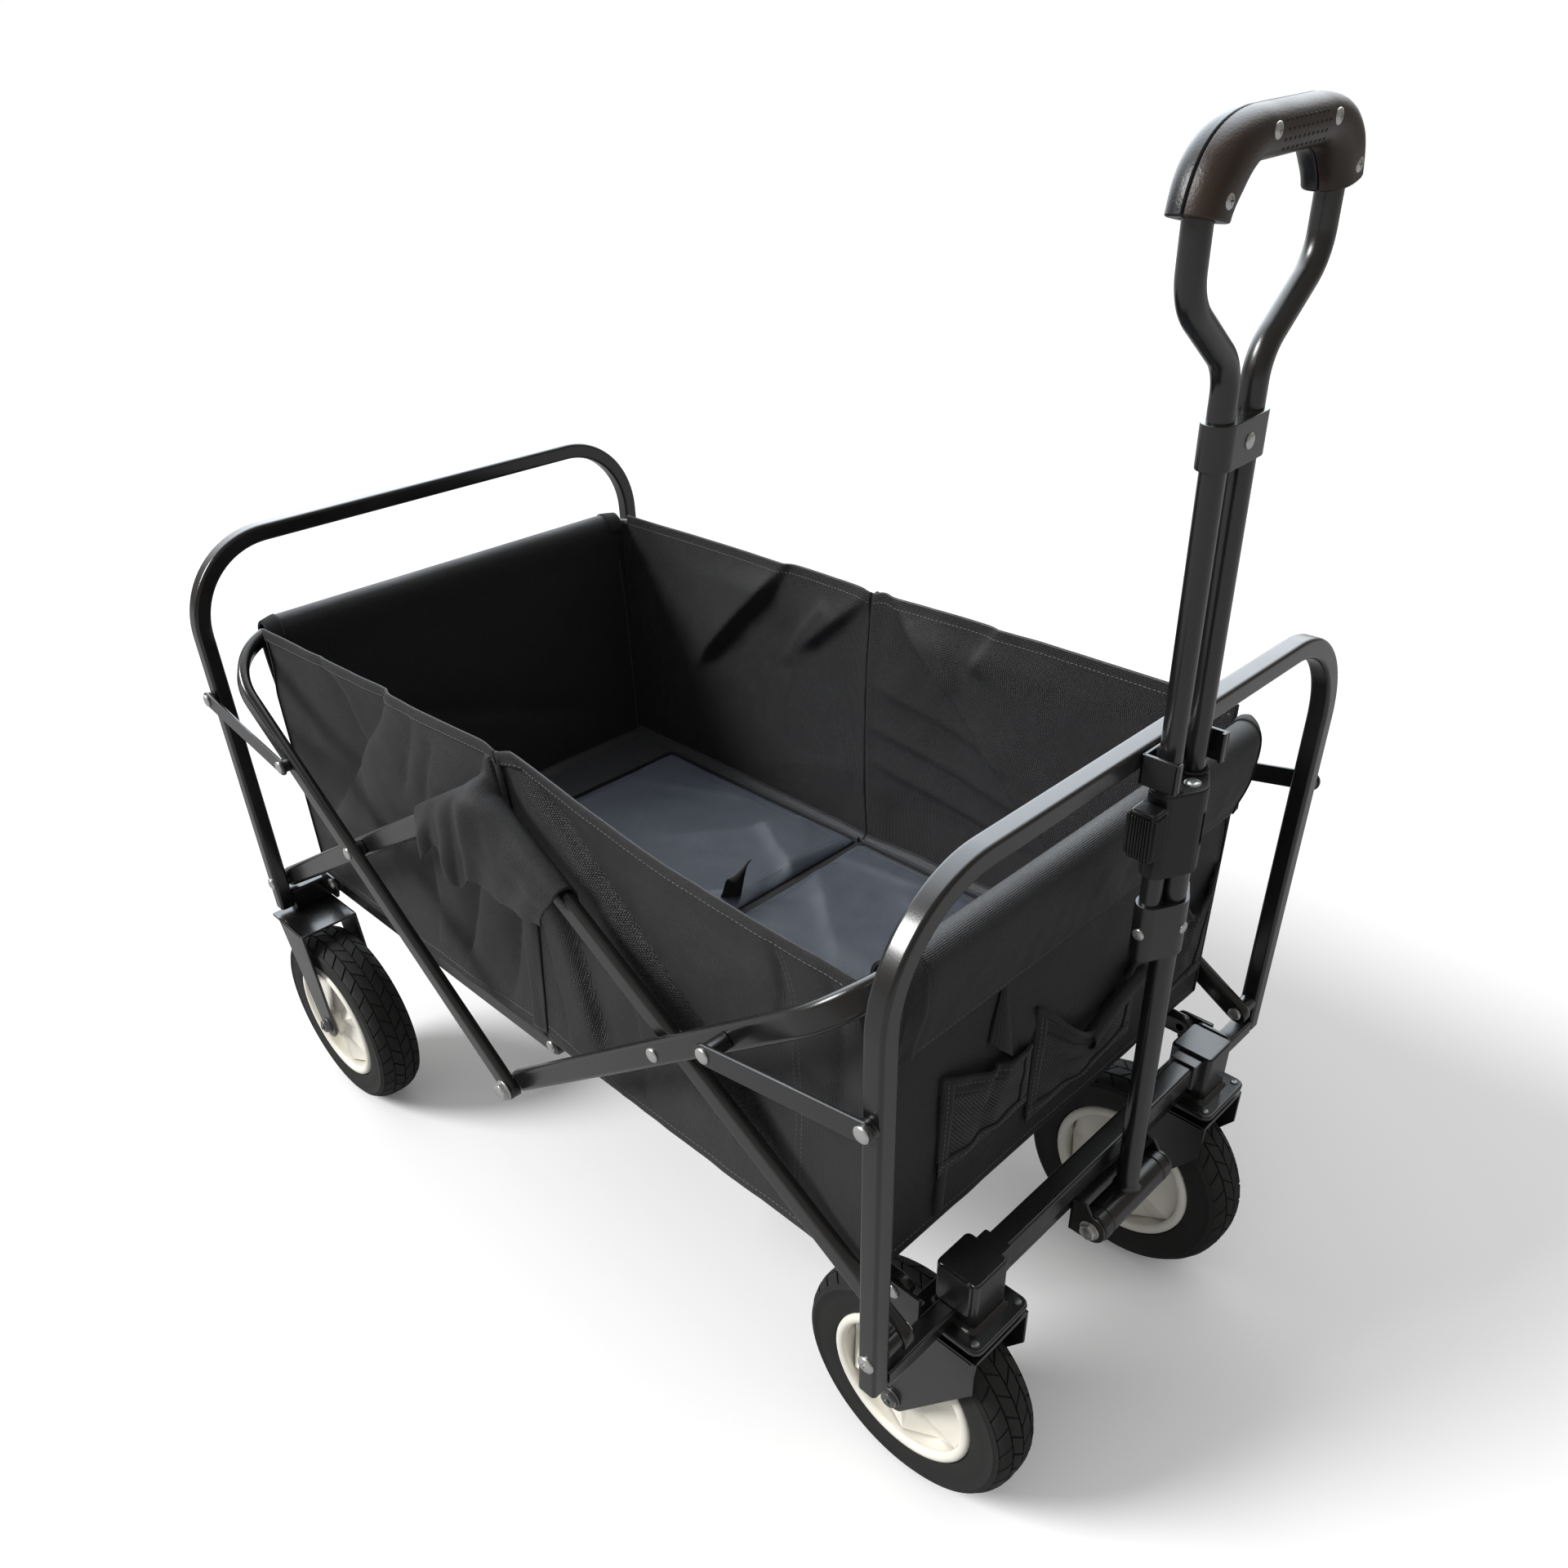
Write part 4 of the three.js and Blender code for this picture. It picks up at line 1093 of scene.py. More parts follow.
# One pitch of tread: two shoulder blocks and a zigzag of centre blocks.
def treadPitch():
    bm = bmesh.new()
    half, pitch = tyreWide / 2, 2 * pi / tyre["blocks"]
    gap, edge, rows = tyre["groove"] / tyreRadius, 0.0005 / tyreRadius, 4

    def block(yFrom, yTo, start, stop, lean, sunk):
        rings = []
        for i in range(rows + 1):
            y = yFrom + (yTo - yFrom) * i / rows
            base, high = tyreRadiusAt(y) - sunk, tyreRadiusAt(y) + tyre["lugHigh"]
            ring = []
            for turn, radius in (
                (start, base), (start, high - 0.0004), (start + edge, high),
                (stop - edge, high), (stop, high - 0.0004), (stop, base),
            ):
                t = turn + lean * i / rows
                ring.append(Vector((radius * sin(t), y, radius * cos(t))))
            rings.append(ring)
        loft(bm, rings)

    lean = tyre["skew"] * pitch
    for side, shift in ((1, 0.0), (-1, pitch / 2)):
        far, near = side * half * 0.95, side * half * 0.03
        block(side * half * 0.52, far, shift, shift + pitch - gap, lean, 0.0012)
        block(near, side * half * 0.45, shift, shift + pitch - gap * 0.8, -lean, 0.0009)
    return patternPart("treadPitch", bm, tyreRubber)


# Hubs: a rolled lip, a deep dish, and flat facets that run from the lip to the boss
hub = {
    "spokes": 6,
    "lip": 0.0042,
    "bossRadius": 0.0145,
    "bossReach": 0.0268,
    "dish": 0.0585,
    "ridge": (0.0200, 0.0155),  # a spoke's ridge, at the boss and at the dish
    "valley": (0.0165, 0.0060),
}


def hubFacet():
    bm = bmesh.new()
    step = pi / hub["spokes"]

    # a point on the ridge or in a valley, at the boss or at the dish
    def at(side, turn, outer):
        radius = hub["dish"] if outer else hub["bossRadius"]
        y = hub["valley" if turn else "ridge"][outer]
        return bm.verts.new((radius * sin(turn), side * y, radius * cos(turn)))

    for side in sides:
        for first, last in ((-step, 0.0), (0.0, step)):
            corners = ((first, 0), (first, 1), (last, 1), (last, 0))
            bm.faces.new([at(side, turn, outer) for turn, outer in corners])
    bmesh.ops.recalc_face_normals(bm, faces=bm.faces)
    for face in bm.faces:
        if face.normal.y * face.calc_center_median().y < 0:
            face.normal_flip()
    return patternPart("hubFacet", bm, creamPlastic)


def makeHub(kind, side, x, y, body):
    half, lip, dish, rim = tyreWide / 2, hub["lip"], hub["dish"], rimRadius - clear
    turns = [radians(t) for t in range(0, 201, 20)]
    roll = [
        (rimRadius - lip + lip * cos(t), half - 0.0032 + lip * 0.9 * sin(t))
        for t in turns
    ]
    profile = [(rim, 0.0), (rim, half - 0.006)] + roll
    profile += [(dish + 0.0012, half - 0.008), (dish + 0.0002, 0.004), (dish - 0.003, 0.002)]
    bm = bmesh.new()
    lathe(bm, mirrored(profile)[:-1], (x, y, tyreRadius), alongY, 72, closed=True)
    boss, reach = hub["bossRadius"], hub["bossReach"]
    cap = [
        (0.0062, reach - 0.0006), (0.0068, reach), (boss - 0.0022, reach),
        (boss - 0.0008, reach - 0.0012), (boss, 0.014),
    ]
    lathe(bm, mirrored(cap), (x, y, tyreRadius), alongY, 48, closed=True)
    name, slot = f"{kind}Hub{sideTitle[side]}", "cream_plastic"
    settle(objectOf(name, bm, creamPlastic), body, [f"{kind}_hub_{sideName[side]}"])
    web = ringOf(f"{name}Spokes", facetPattern, hub["spokes"], x, y, body, creamPlastic)
    web.data.polygons.foreach_set("use_smooth", [False] * len(web.data.polygons))


treadPattern, facetPattern = treadPitch(), hubFacet()
for side in sides:
    for kind, x, y in (("rear", rearAxleX, rearWheelY), ("front", frontAxleX, casterY)):
        body = f"{kind}_wheel_{sideName[side]}"
        makeTyre(kind, side, x, side * y, body)
        makeHub(kind, side, x, side * y, body)
print("wheels made")


# Pull handle. Its own frame starts at the pivot and rises along the leaning tubes.
handle = {
    "pivot": (halfSpan + 0.026, 0.014, legFoot - 0.010),
    "lean": 2.4,  # degrees of side play
    "mainRadius": 0.0085,
    "tubeRadius": 0.0070,
    "tubeBehind": 0.0070,
    "sleeveRadius": 0.013,
    "sleeveLong": 0.090,
    "upperClamp": (0.308, 0.368),
    "lowerClamp": (0.243, 0.285),
    "band": (0.556, 0.579),
    "clampWall": 0.003,
    "slideWall": 0.0022,
    "bandWall": 0.0026,
    "flare": (0.6046, 0.6405),  # heights of the two bends that spread the grip tube
    "flareBend": 0.027,
    "gripHalfWide": 0.0635,
    "gripTop": 0.702,
    "gripEnd": 0.6735,
    "gripRadius": 0.0140,
    "gripCorner": 0.036,
}
handlePlace = Matrix.Translation(handle["pivot"])
leaned = handlePlace @ Matrix.Rotation(radians(handle["lean"]), 4, "X")
mainRadius, tubeRadius = handle["mainRadius"], handle["tubeRadius"]
tubeX, tubeY = -handle["tubeBehind"], mainRadius / 2 + tubeRadius + 0.00375


# A place and a facing on the handle, leaned with it
def leanedHead(place, out):
    return (leaned @ Vector(place), leaned.to_3x3() @ Vector(out))


def smoothed(points, rounds=3):
    points = [Vector(p) for p in points]
    for _ in range(rounds):  # cuts the corners, which draws the path into a curve
        cut = [points[0]]
        for a, b in zip(points, points[1:]):
            cut += [a.lerp(b, 0.25), a.lerp(b, 0.75)]
        points = cut + [points[-1]]
    return points


def makeMainTube():
    bm = bmesh.new()
    top = handle["upperClamp"][1] - 0.006
    sweep(bm, [(0, 0, 0.004), (0, 0, top)], circle(mainRadius, 32), alongX)
    weld = [(0.0108, 0.0112), (0.0098, 0.0126), (0.0088, 0.0150), (0.0086, 0.017)]
    lathe(bm, weld, middle, alongZ, 32)
    painted("handleMainTube", bm, "handle", ["handle_main_tube"], leaned)
    bm = bmesh.new()
    half, radius = handle["sleeveLong"] / 2, handle["sleeveRadius"]
    profile = [
        (0.0056, half - 0.0005), (radius - 0.0012, half), (radius, half - 0.0012),
        (radius, half - 0.0085), (radius - 0.0011, half - 0.0092),
        (radius - 0.0011, half - 0.0112), (radius - 0.0002, half - 0.0118),
    ]
    lathe(bm, mirrored(profile), middle, alongY, 48, closed=True)
    settle(objectOf("handleSleeve", bm, blackPaint, handlePlace), "handle")


def makeGripTube():
    low, high = handle["flare"]
    wide, foot = handle["gripHalfWide"] - 0.0015, handle["lowerClamp"][0] + 0.003
    half = [(tubeY, foot), (tubeY, low), (wide, high), (wide, handle["gripTop"])]
    corners = [(tubeX, y, z) for y, z in half] + [(tubeX, -y, z) for y, z in half[::-1]]
    bm = bmesh.new()
    sweep(bm, bentPath(corners, handle["flareBend"]), circle(tubeRadius, 28), alongX)
    tube = objectOf("handleGripTube", bm, blackPaint, leaned)
    settle(tube, "handle_upper", ["handle_grip_tube"])


# The grip is two moulded shells on the tube, held by four screws.
grip = {
    "parting": 0.0005,
    "screwY": 0.028,
    "barInPlane": 0.78,
    "power": 2.5,  # how square its section is
    "dimple": 0.0009,
    "dimplePitch": 0.0042,
    "dimpleRows": 4,
    "dimpleColumns": 10,
    "bevel": 0.0009,
}


def gripLine():
    wide, top, corner = handle["gripHalfWide"], handle["gripTop"], handle["gripCorner"]
    lowest = degrees(asin((handle["gripEnd"] - top + corner) / corner))
    bend = arc((wide - corner, top - corner), corner, lowest, 90, 24)
    half = [Vector((tubeX, y, z)) for y, z in bend]
    half += [Vector((tubeX, (wide - corner) * (1 - i / 6), top)) for i in range(1, 7)]
    return half + [Vector((p.x, -p.y, p.z)) for p in half[-2::-1]]


# Half of the grip's section: a full outer face, and the tube's groove on the inner side
def gripSection(front, place):
    radius, power = handle["gripRadius"], 2 / grip["power"]
    side = ease((place - 0.25) / 0.5)
    inPlane = radius * (grip["barInPlane"] + (1 - grip["barInPlane"]) * side)
    deep = radius * (0.98 - 0.08 * ease((place - 0.7) / 0.3))
    parting, inner = grip["parting"] / 2, tubeRadius + 0.0004
    points = []
    for c, s in arc((0, 0), 1, -90, 90, 16):
        across = copysign(abs(s) ** power, s) * inPlane
        points.append((across, front * (parting + abs(c) ** power * deep)))
    for c, s in arc((0, 0), inner, 90, -90, 8):
        points.append((s, front * (parting + max(0.0, c))))
    return points


def makeGripShell(front, name, finish, nodes):
    line = gripLine()
    rings = []
    for i, p in enumerate(line):
        ahead = (line[min(i + 1, len(line) - 1)] - line[max(i - 1, 0)]).normalized()
        outward = ahead.cross(alongX).normalized()
        section = gripSection(front, abs(2 * i / (len(line) - 1) - 1))
        rings.append([p + outward * a + alongX * b for a, b in section])
    bm = bmesh.new()
    loft(bm, rings)
    obj = objectOf(name, bm, finish, leaned, smoothAngle=50)
    bevel = obj.modifiers.new("edges", "BEVEL")
    bevel.width, bevel.segments, bevel.limit_method = grip["bevel"], 2, "ANGLE"
    bevel.angle_limit = radians(50)
    settle(flatShaded(obj), "handle_upper", nodes)


def makeGrip():
    makeGripShell(1, "gripFrontShell", gripPlastic, ["handle_grip"])
    makeGripShell(-1, "gripBackShell", gripBackPlastic, [])
    wide, top, end = handle["gripHalfWide"], handle["gripTop"], handle["gripEnd"]
    reach, pitch = handle["gripRadius"], grip["dimplePitch"]
    barScrew = (tubeX + reach * 0.975 - 0.0002, grip["screwY"], top + 0.0012)
    endScrew = (tubeX + reach * 0.91 - 0.0002, wide - 0.003, end + 0.0075)
    places = [
        leanedHead((x, side * y, z), alongX) for side in sides for x, y, z in (barScrew, endScrew)
    ]
    heads("gripScrews", "handle_upper", screw, places, 0.55)
    places = []
    rows, columns = grip["dimpleRows"], grip["dimpleColumns"]
    for r in range(rows):
        for c in range(columns):
            y = (c - (columns - 1) / 2 + (r % 2) / 2 - 0.25) * pitch
            down = (r - (rows - 1) / 2) * pitch * 0.85 + 0.0012
            fall = abs(down / (reach * grip["barInPlane"])) ** grip["power"]
            depth = reach * 0.98 * (1 - fall) ** (1 / grip["power"])
            places.append(leanedHead((tubeX + depth, y, top - down), alongX))
    heads("gripDimples", "handle_upper", dimplePart(), places, finish=blockPlastic)


def dimplePart():
    bm = bmesh.new()
    r = grip["dimple"]
    lathe(bm, [(r, -0.0006), (r, 0.0002), (r * 0.6, 0.0005), (0, 0.0006)], middle, alongZ, 8)
    return patternPart("dimple", bm, blockPlastic)


# Outline of a block that wraps the two grip tubes, and the main tube in front of them.
def clampOutline(wall, nose=True):
    discs = [(tubeX, -tubeY, tubeRadius + wall), (tubeX, tubeY, tubeRadius + wall)]
    if nose:
        discs.append((0, 0, mainRadius + wall))
    turns = [2 * pi * k / 60 for k in range(60)]
    points = [
        (max(x * cos(t) + y * sin(t) + radius for x, y, radius in discs), t)
        for t in turns
    ]
    # the outline that all those reaches bound
    outline = []
    for (reach, t), (after, t2) in zip(points, points[1:] + points[:1]):
        det = sin(t2 - t)
        x = (reach * sin(t2) - after * sin(t)) / det
        y = (after * cos(t) - reach * cos(t2)) / det
        if not outline or dist((x, y), outline[-1]) > 2e-4:
            outline.append((x, y))
    return outline


def makeUpperClamp():
    low, high = handle["upperClamp"]
    mid = (low + high) / 2
    bm = bmesh.new()
    plate(bm, clampOutline(handle["clampWall"]), inXY, (low, high), 0.0016, 3)
    block = objectOf("handleFixedClamp", bm, blockPlastic)
    # the window in its front face shows the lock
    tool = bmesh.new()
    roundBox(tool, (0.006, 0.02), (-0.0005, 0.0075), about(mid, 0.013), 0.0008, 0.0012)
    cutAway(block, tool)
    # a step in the rear tubes' cheeks
    for side in sides:
        tool = bmesh.new()
        ys = (side * (tubeY + tubeRadius + 0.0022), side * (tubeY + 0.02))
        roundBox(tool, about(tubeX, 0.0035), ys, (low - 0.01, mid - 0.006), 0.0006, 0.001)
        cutAway(block, tool)
    block.data.transform(unshifted.inverted() @ leaned @ unshifted)
    settle(flatShaded(block), "handle", ["handle_fixed_clamp"])
    collar = [
        (tubeRadius + 0.0002, high - 0.001), (tubeRadius + 0.0026, high - 0.001),
        (tubeRadius + 0.0026, high + 0.0012), (tubeRadius + 0.0018, high + 0.0019),
        (tubeRadius + 0.0003, high + 0.0019),
    ]
    bm = bmesh.new()
    for side in sides:
        lathe(bm, collar, (tubeX, side * tubeY, 0), alongZ, 32, closed=True)
    settle(objectOf("clampCollars", bm, blockPlastic, leaned), "handle")
    heads("clampTopScrew", "handle", screw, [leanedHead((0.0015, 0.0, high), alongZ)], 0.8)


# The key's own sizes are across the tube's line, along it, and out from the clamp.
releaseKey = {
    "half": 0.009,
    "tall": 0.017,
    "out": 0.0148,
    "above": 0.008,
    "ribs": 7,
    "ribsOut": (0.0030, 0.0142),  # from the first rib on a flank to the last
}


def makeReleaseKey():
    half, tall, ribs = releaseKey["half"], releaseKey["tall"], releaseKey["ribs"]
    keyZ = sum(handle["upperClamp"]) / 2 + releaseKey["above"]
    near = -(tubeY + tubeRadius + handle["clampWall"]) - clear
    left, right = about(tubeX, half)
    bm = bmesh.new()
    outline = squareOutline((left, right), (near - releaseKey["out"], near), 0.003, 0.001)
    plate(bm, outline, inXY, about(keyZ, tall), 0.0022, 3)
    # upright ribs for the thumb, round the outer end
    zs, (firstOut, lastOut) = about(keyZ, tall - 0.003), releaseKey["ribsOut"]
    for i in range(ribs):
        y = near - firstOut - (lastOut - firstOut) * i / (ribs - 1)
        for x in (right, left):
            roundBox(bm, about(x, 0.0011), about(y, 0.0006), zs, 0.0005)
        x = left + 0.0035 + (2 * half - 0.007) * i / (ribs - 1)
        roundBox(bm, about(x, 0.0007), (near - 0.0168, near - 0.014), zs, 0.0005)
    pin = [(0.003, near - 0.001), (0.003, -(tubeY + tubeRadius) - 0.0005)]
    lathe(bm, pin, (tubeX, 0, keyZ), alongY, 20)
    key = flatShaded(objectOf("handleReleaseKey", bm, blockPlastic, leaned))
    settle(key, "release_key", ["handle_release_key"])


# Steel bands round the tubes. A nose takes in the main tube too.
def makeBand(name, node, heights, wall, nose, rivets):
    bm = bmesh.new()
    plate(bm, clampOutline(wall, nose), inXY, heights, 0.0006)
    painted(name, bm, "handle_upper", [node], leaned)
    mid = sum(heights) / 2
    places = [leanedHead((x, y, mid), out) for x, y, out in rivets]
    heads(f"{name}Rivets", "handle_upper", rivet, places, 0.72)


def makeHandleBands():
    wall = handle["slideWall"]
    side = tubeY + tubeRadius + wall
    rivets = [
        (mainRadius + wall - 0.0004, 0, alongX), (tubeX, -side, -alongY), (tubeX, side, alongY)
    ]
    clamp = "handle_sliding_clamp"
    makeBand("handleSlidingClamp", clamp, handle["lowerClamp"], wall, True, rivets)
    wall = handle["bandWall"]
    rivets = [(tubeX + tubeRadius + wall - 0.0002, 0, alongX)]
    makeBand("handleBand", "handle_band", handle["band"], wall, False, rivets)


def makeHandleMount():
    x, y, z = handle["pivot"]
    half, thick, reach = handle["sleeveLong"] / 2 + clear, 0.003, 0.012
    back, barTop = halfSpan + legTube / 2 + clear, legFoot + 0.011
    outline = [(back, z - reach)] + arc((x, z), reach, -90, 90, 14)
    outline += [(x - reach / 2, barTop), (back, barTop)]
    bm = bmesh.new()
    for way in ends:
        plate(bm, outline, inXZ, (y + way * half, y + way * (half + thick)))
    roundBox(bm, (back, back + 0.0024), about(y, half + thick), (z - reach, barTop), 0.0007)
    painted("handleBracket", bm, "front_base", ["handle_bracket"])
    bm = bmesh.new()
    end = half + thick + clear
    pinTurned(bm, x, z, about(y, end + 0.001), 0.005)
    settle(objectOf("handleBolt", bm, zincPlate), "front_base", ["handle_bolt"])
    heads("handleBoltHeads", "front_base", bolt, bothSides(x, end, z, centre=y), 0.92)


# The catch on the push bar that holds the handle upright
def makeCatch():
    zs = (frameTop - 0.015, frameTop + 0.005)
    lean = tan(radians(handle["lean"]))
    y = handle["pivot"][1] - lean * (sum(zs) / 2 - handle["pivot"][2])
    back, front = halfSpan + legTube / 2 + clear, handle["pivot"][0] + 0.006
    mouth = tubeY + tubeRadius + 0.0016
    outer = mouth + 0.006
    bm = bmesh.new()
    for side in sides:
        arm = (y + side * (mouth + 0.003), y + side * outer)
        roundBox(bm, (back, front), arm, zs, 0.0009)
        roundBox(bm, (front - 0.003, front), (y + side * mouth, y + side * outer), zs, 0.0012)
    roundBox(bm, (back, back + 0.0024), about(y, outer), zs, 0.0007)
    painted("handleCatch", bm, "front_base", ["handle_catch"])


makeMainTube()
makeGripTube()
makeGrip()
makeUpperClamp()
makeReleaseKey()
makeHandleBands()
makeHandleMount()
makeCatch()
print("handle made")


# Cloth tub, in two halves that meet in the middle
cloth = {
    "thick": 0.0012,
    "hem": 0.010,
    "low": legFoot + 0.040,
    "middleTop": legFoot + 0.3115,
    "cornerTop": legFoot + 0.3070,
    "frontSag": 0.024,  # how far the near front edge hangs
    "wallFace": bailReach - 0.0080,
    "halfWide": clothHalfWide - 0.0015,
    "creaseIn": 0.011,  # how far the middle crease stands into the tub
    "pinch": 0.004,  # dip of the top edge where the flap's tab is sewn on
    "tuck": 0.011,  # the corners are tucked inside the bent bails
    "keep": 0.55,  # the share of its length that a folded side panel keeps
}
panelTall = cloth["middleTop"] - cloth["low"]
threadLift = cloth["thick"] / 2 + 0.0001


# Height of a fold at p. It runs from a to b, steep on one side and easy on the other.
def foldHeight(p, a, b, steep, easy, depth):
    ahead = Vector(b) - Vector(a)
    t = (Vector(p) - Vector(a)).dot(ahead) / ahead.length_squared
    off = ((p[0] - a[0]) * ahead.y - (p[1] - a[1]) * ahead.x) / ahead.length
    fade = ease(t / 0.18 + 0.6) * ease((1 - t) / 0.35 + 0.25)
    width = steep if off > 0 else easy
    return depth * fade * exp(-((abs(off) / width) ** 1.1))


def ripple(height, *place):
    return height * noise.noise(place)


# Rows of points that turn the sheet's top edge over into a hem
def hemRows(at, top, below, size, hem, hemSide, columns):
    overs, rows = [], []
    for i, p in enumerate(top):
        ahead = top[min(i + 1, columns)] - top[max(i - 1, 0)]
        up = (p - below[i]).normalized()
        overs.append((up, ahead.cross(up).normalized() * hemSide))
    gap = cloth["thick"] * 1.25
    for turn in (30, 60, 90, 120, 150):
        t = radians(turn)
        ring = [
            p + up * gap / 2 * sin(t) + over * gap / 2 * (1 - cos(t))
            for p, (up, over) in zip(top, overs)
        ]
        rows.append((ring, size[1] + gap * t / pi))
    for k in range(1, 5):
        down = hem * k / 4
        v = 1 - down / size[1]
        ring = [Vector(at(i / columns, v)) + overs[i][1] * gap for i in range(columns + 1)]
        rows.append((ring, size[1] + gap + down))
    return rows


# A sheet of cloth, drawn by a function of (u, v) that each run from 0 to 1. Its map is in metres.
def makeSheet(
    name, at, counts, size, finish=wovenCloth, thick=cloth["thick"], hem=0.0, hemSide=1
):
    columns, high = counts
    rows = [
        ([Vector(at(i / columns, j / high)) for i in range(columns + 1)], size[1] * j / high)
        for j in range(high + 1)
    ]
    if hem:
        rows += hemRows(at, rows[-1][0], rows[-2][0], size, hem, hemSide, columns)
    bm = bmesh.new()
    uv = bm.loops.layers.uv.new("cloth")
    verts = [[bm.verts.new(p) for p in row] for row, _ in rows]
    for j in range(len(rows) - 1):
        for i in range(columns):
            corners = ((i, j), (i + 1, j), (i + 1, j + 1), (i, j + 1))
            face = bm.faces.new([verts[b][a] for a, b in corners])
            for loop, (a, b) in zip(face.loops, corners):
                loop[uv].uv = (size[0] * a / columns, rows[b][1])
    obj = objectOf(name, bm, finish, smoothAngle=70, outward=False)
    solid = obj.modifiers.new("cloth thickness", "SOLIDIFY")
    solid.thickness = thick
    solid.offset = 0
    return applied(obj)


# Points on a sheet along a line of (u, v), lifted off its face.
def seamLine(at, start, stop, lift, count=60):
    points = []
    step = 1e-3
    for k in range(count + 1):
        u = start[0] + (stop[0] - start[0]) * k / count
        v = start[1] + (stop[1] - start[1]) * k / count
        du = Vector(at(min(1, u + step), v)) - Vector(at(max(0, u - step), v))
        dv = Vector(at(u, min(1, v + step))) - Vector(at(u, max(0, v - step)))
        points.append(Vector(at(u, v)) + du.cross(dv).normalized() * lift)
    return points


def stitched(name, lines, pitch=0.0042, finish=seamThread):
    bm = bmesh.new()
    for line in lines:
        verts = [bm.verts.new(p) for p in line]
        for a, b in zip(verts, verts[1:]):
            bm.edges.new((a, b))
    return stitches.grow(name, bm, finish, Part=stitch, Pitch=pitch)


def settleCloth(body, *objects):
    for obj in objects:
        settle(obj, body)


# Each piece gets a mesh of its own.
def shorten(objects):
    for obj in objects:
        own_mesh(obj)


def lengthsAlong(line):
    lengths = [0.0]
    for a, b in zip(line, line[1:]):
        lengths.append(lengths[-1] + (b - a).length)
    return lengths


# Folds of each side panel in parts of its length and height, from the middle outwards:
# start, end, steep width, easy width, depth into the tub. Widths and depths are metres.
sideFolds = {
    (-1, 1): [  # rear left
        ((0.28, 1.04), (0.70, 0.44), 0.004, 0.070, 0.0160),
        ((0.01, 0.98), (0.26, 0.68), 0.005, 0.046, 0.0105),
        ((0.16, 0.90), (0.34, 0.60), 0.020, 0.005, 0.0036),
        ((0.04, 0.30), (0.50, 0.10), 0.030, 0.040, 0.0040),
        ((0.95, 0.95), (0.84, 0.20), 0.040, 0.012, -0.0035),
    ],
    (1, 1): [  # front left
        ((0.05, 1.02), (0.70, 0.16), 0.004, 0.075, 0.0140),
        ((0.20, 0.98), (0.30, 0.74), 0.018, 0.005, 0.0038),
        ((0.41, 1.04), (0.33, 0.84), 0.004, 0.030, 0.0085),
        ((0.05, 0.66), (0.50, 0.52), 0.004, 0.016, 0.0030),
        ((0.04, 0.50), (0.55, 0.36), 0.004, 0.016, 0.0032),
        ((0.04, 0.36), (0.50, 0.24), 0.004, 0.018, 0.0030),
        ((0.10, 0.20), (0.70, 0.24), 0.030, 0.020, -0.0026),
    ],
    (-1, -1): [  # rear right
        ((0.41, 1.02), (0.92, 0.26), 0.005, 0.060, 0.0165),
        ((0.32, 0.96), (0.44, 0.62), 0.004, 0.014, 0.0045),
        ((0.26, 0.90), (0.36, 0.60), 0.004, 0.012, 0.0036),
        ((0.14, 0.66), (0.30, 0.06), 0.005, 0.034, 0.0150),
        ((0.03, 0.60), (0.12, 0.05), 0.005, 0.022, 0.0115),
        ((0.38, 0.52), (0.42, 0.05), 0.006, 0.040, 0.0080),
        ((0.72, 1.00), (0.62, 0.55), 0.006, 0.030, 0.0065),
    ],
    (1, -1): [  # front right
        ((0.02, 1.02), (0.85, 0.10), 0.005, 0.100, 0.0165),
        ((0.08, 0.62), (0.24, 0.05), 0.005, 0.034, 0.0140),
        ((0.02, 0.45), (0.10, 0.04), 0.012, 0.005, 0.0055),
        ((0.34, 0.50), (0.38, 0.08), 0.030, 0.005, 0.0060),
        ((0.93, 0.96), (0.90, 0.45), 0.005, 0.030, 0.0065),
        ((0.80, 0.98), (0.76, 0.60), 0.004, 0.018, 0.0040),
    ],
}


# How far a sheet's upper part stands in, towards the tub's corners
def tuckAt(z):
    return cloth["tuck"] * ease((z - legFoot - 0.235) / 0.045)


def sidePanel(end, side):
    low, face, tall = cloth["low"], cloth["wallFace"], panelTall
    sag = cloth["frontSag"] if (end, side) == (1, -1) else 0.0
    folds = [
        ((a[0] * face, a[1] * tall), (b[0] * face, b[1] * tall), *shape)
        for a, b, *shape in sideFolds[(end, side)]
    ]

    def at(u, v):
        top = cloth["middleTop"] + (cloth["cornerTop"] - cloth["middleTop"]) * u
        top -= cloth["pinch"] * exp(-((u * face / 0.009) ** 2))
        top -= sag * (ease(u * 1.05) * 0.75 + 0.25 * sin(pi * min(1, u * 1.1)))
        z = low + (top - low) * v
        x = clear + u * (face - tuckAt(z) - clear)
        inward = sum(foldHeight((u * face, v * tall), *fold) for fold in folds)
        inward += ripple(0.0022, x * 14 * end, side * 3.1, z * 11)
        inward += ripple(0.0009, x * 45, side * 7.7, z * 38 * end)
        inward *= ease(u / 0.03 + 0.35) * ease((1 - u) / 0.12)
        inward *= 0.35 + 0.65 * ease((1 - v) / 0.14)
        # the middle crease stands in, most at mid height
        ridge = max(0.0, 1 - u / 0.30) ** 1.15
        rise = sin(pi * min(1, v * 0.95 + 0.04)) ** 0.7
        inward += cloth["creaseIn"] * ridge * (0.28 + 0.72 * rise)
        inward = max(-0.0022, min(0.020, inward))
        return (end * x, side * (cloth["halfWide"] - inward), z)

    return at


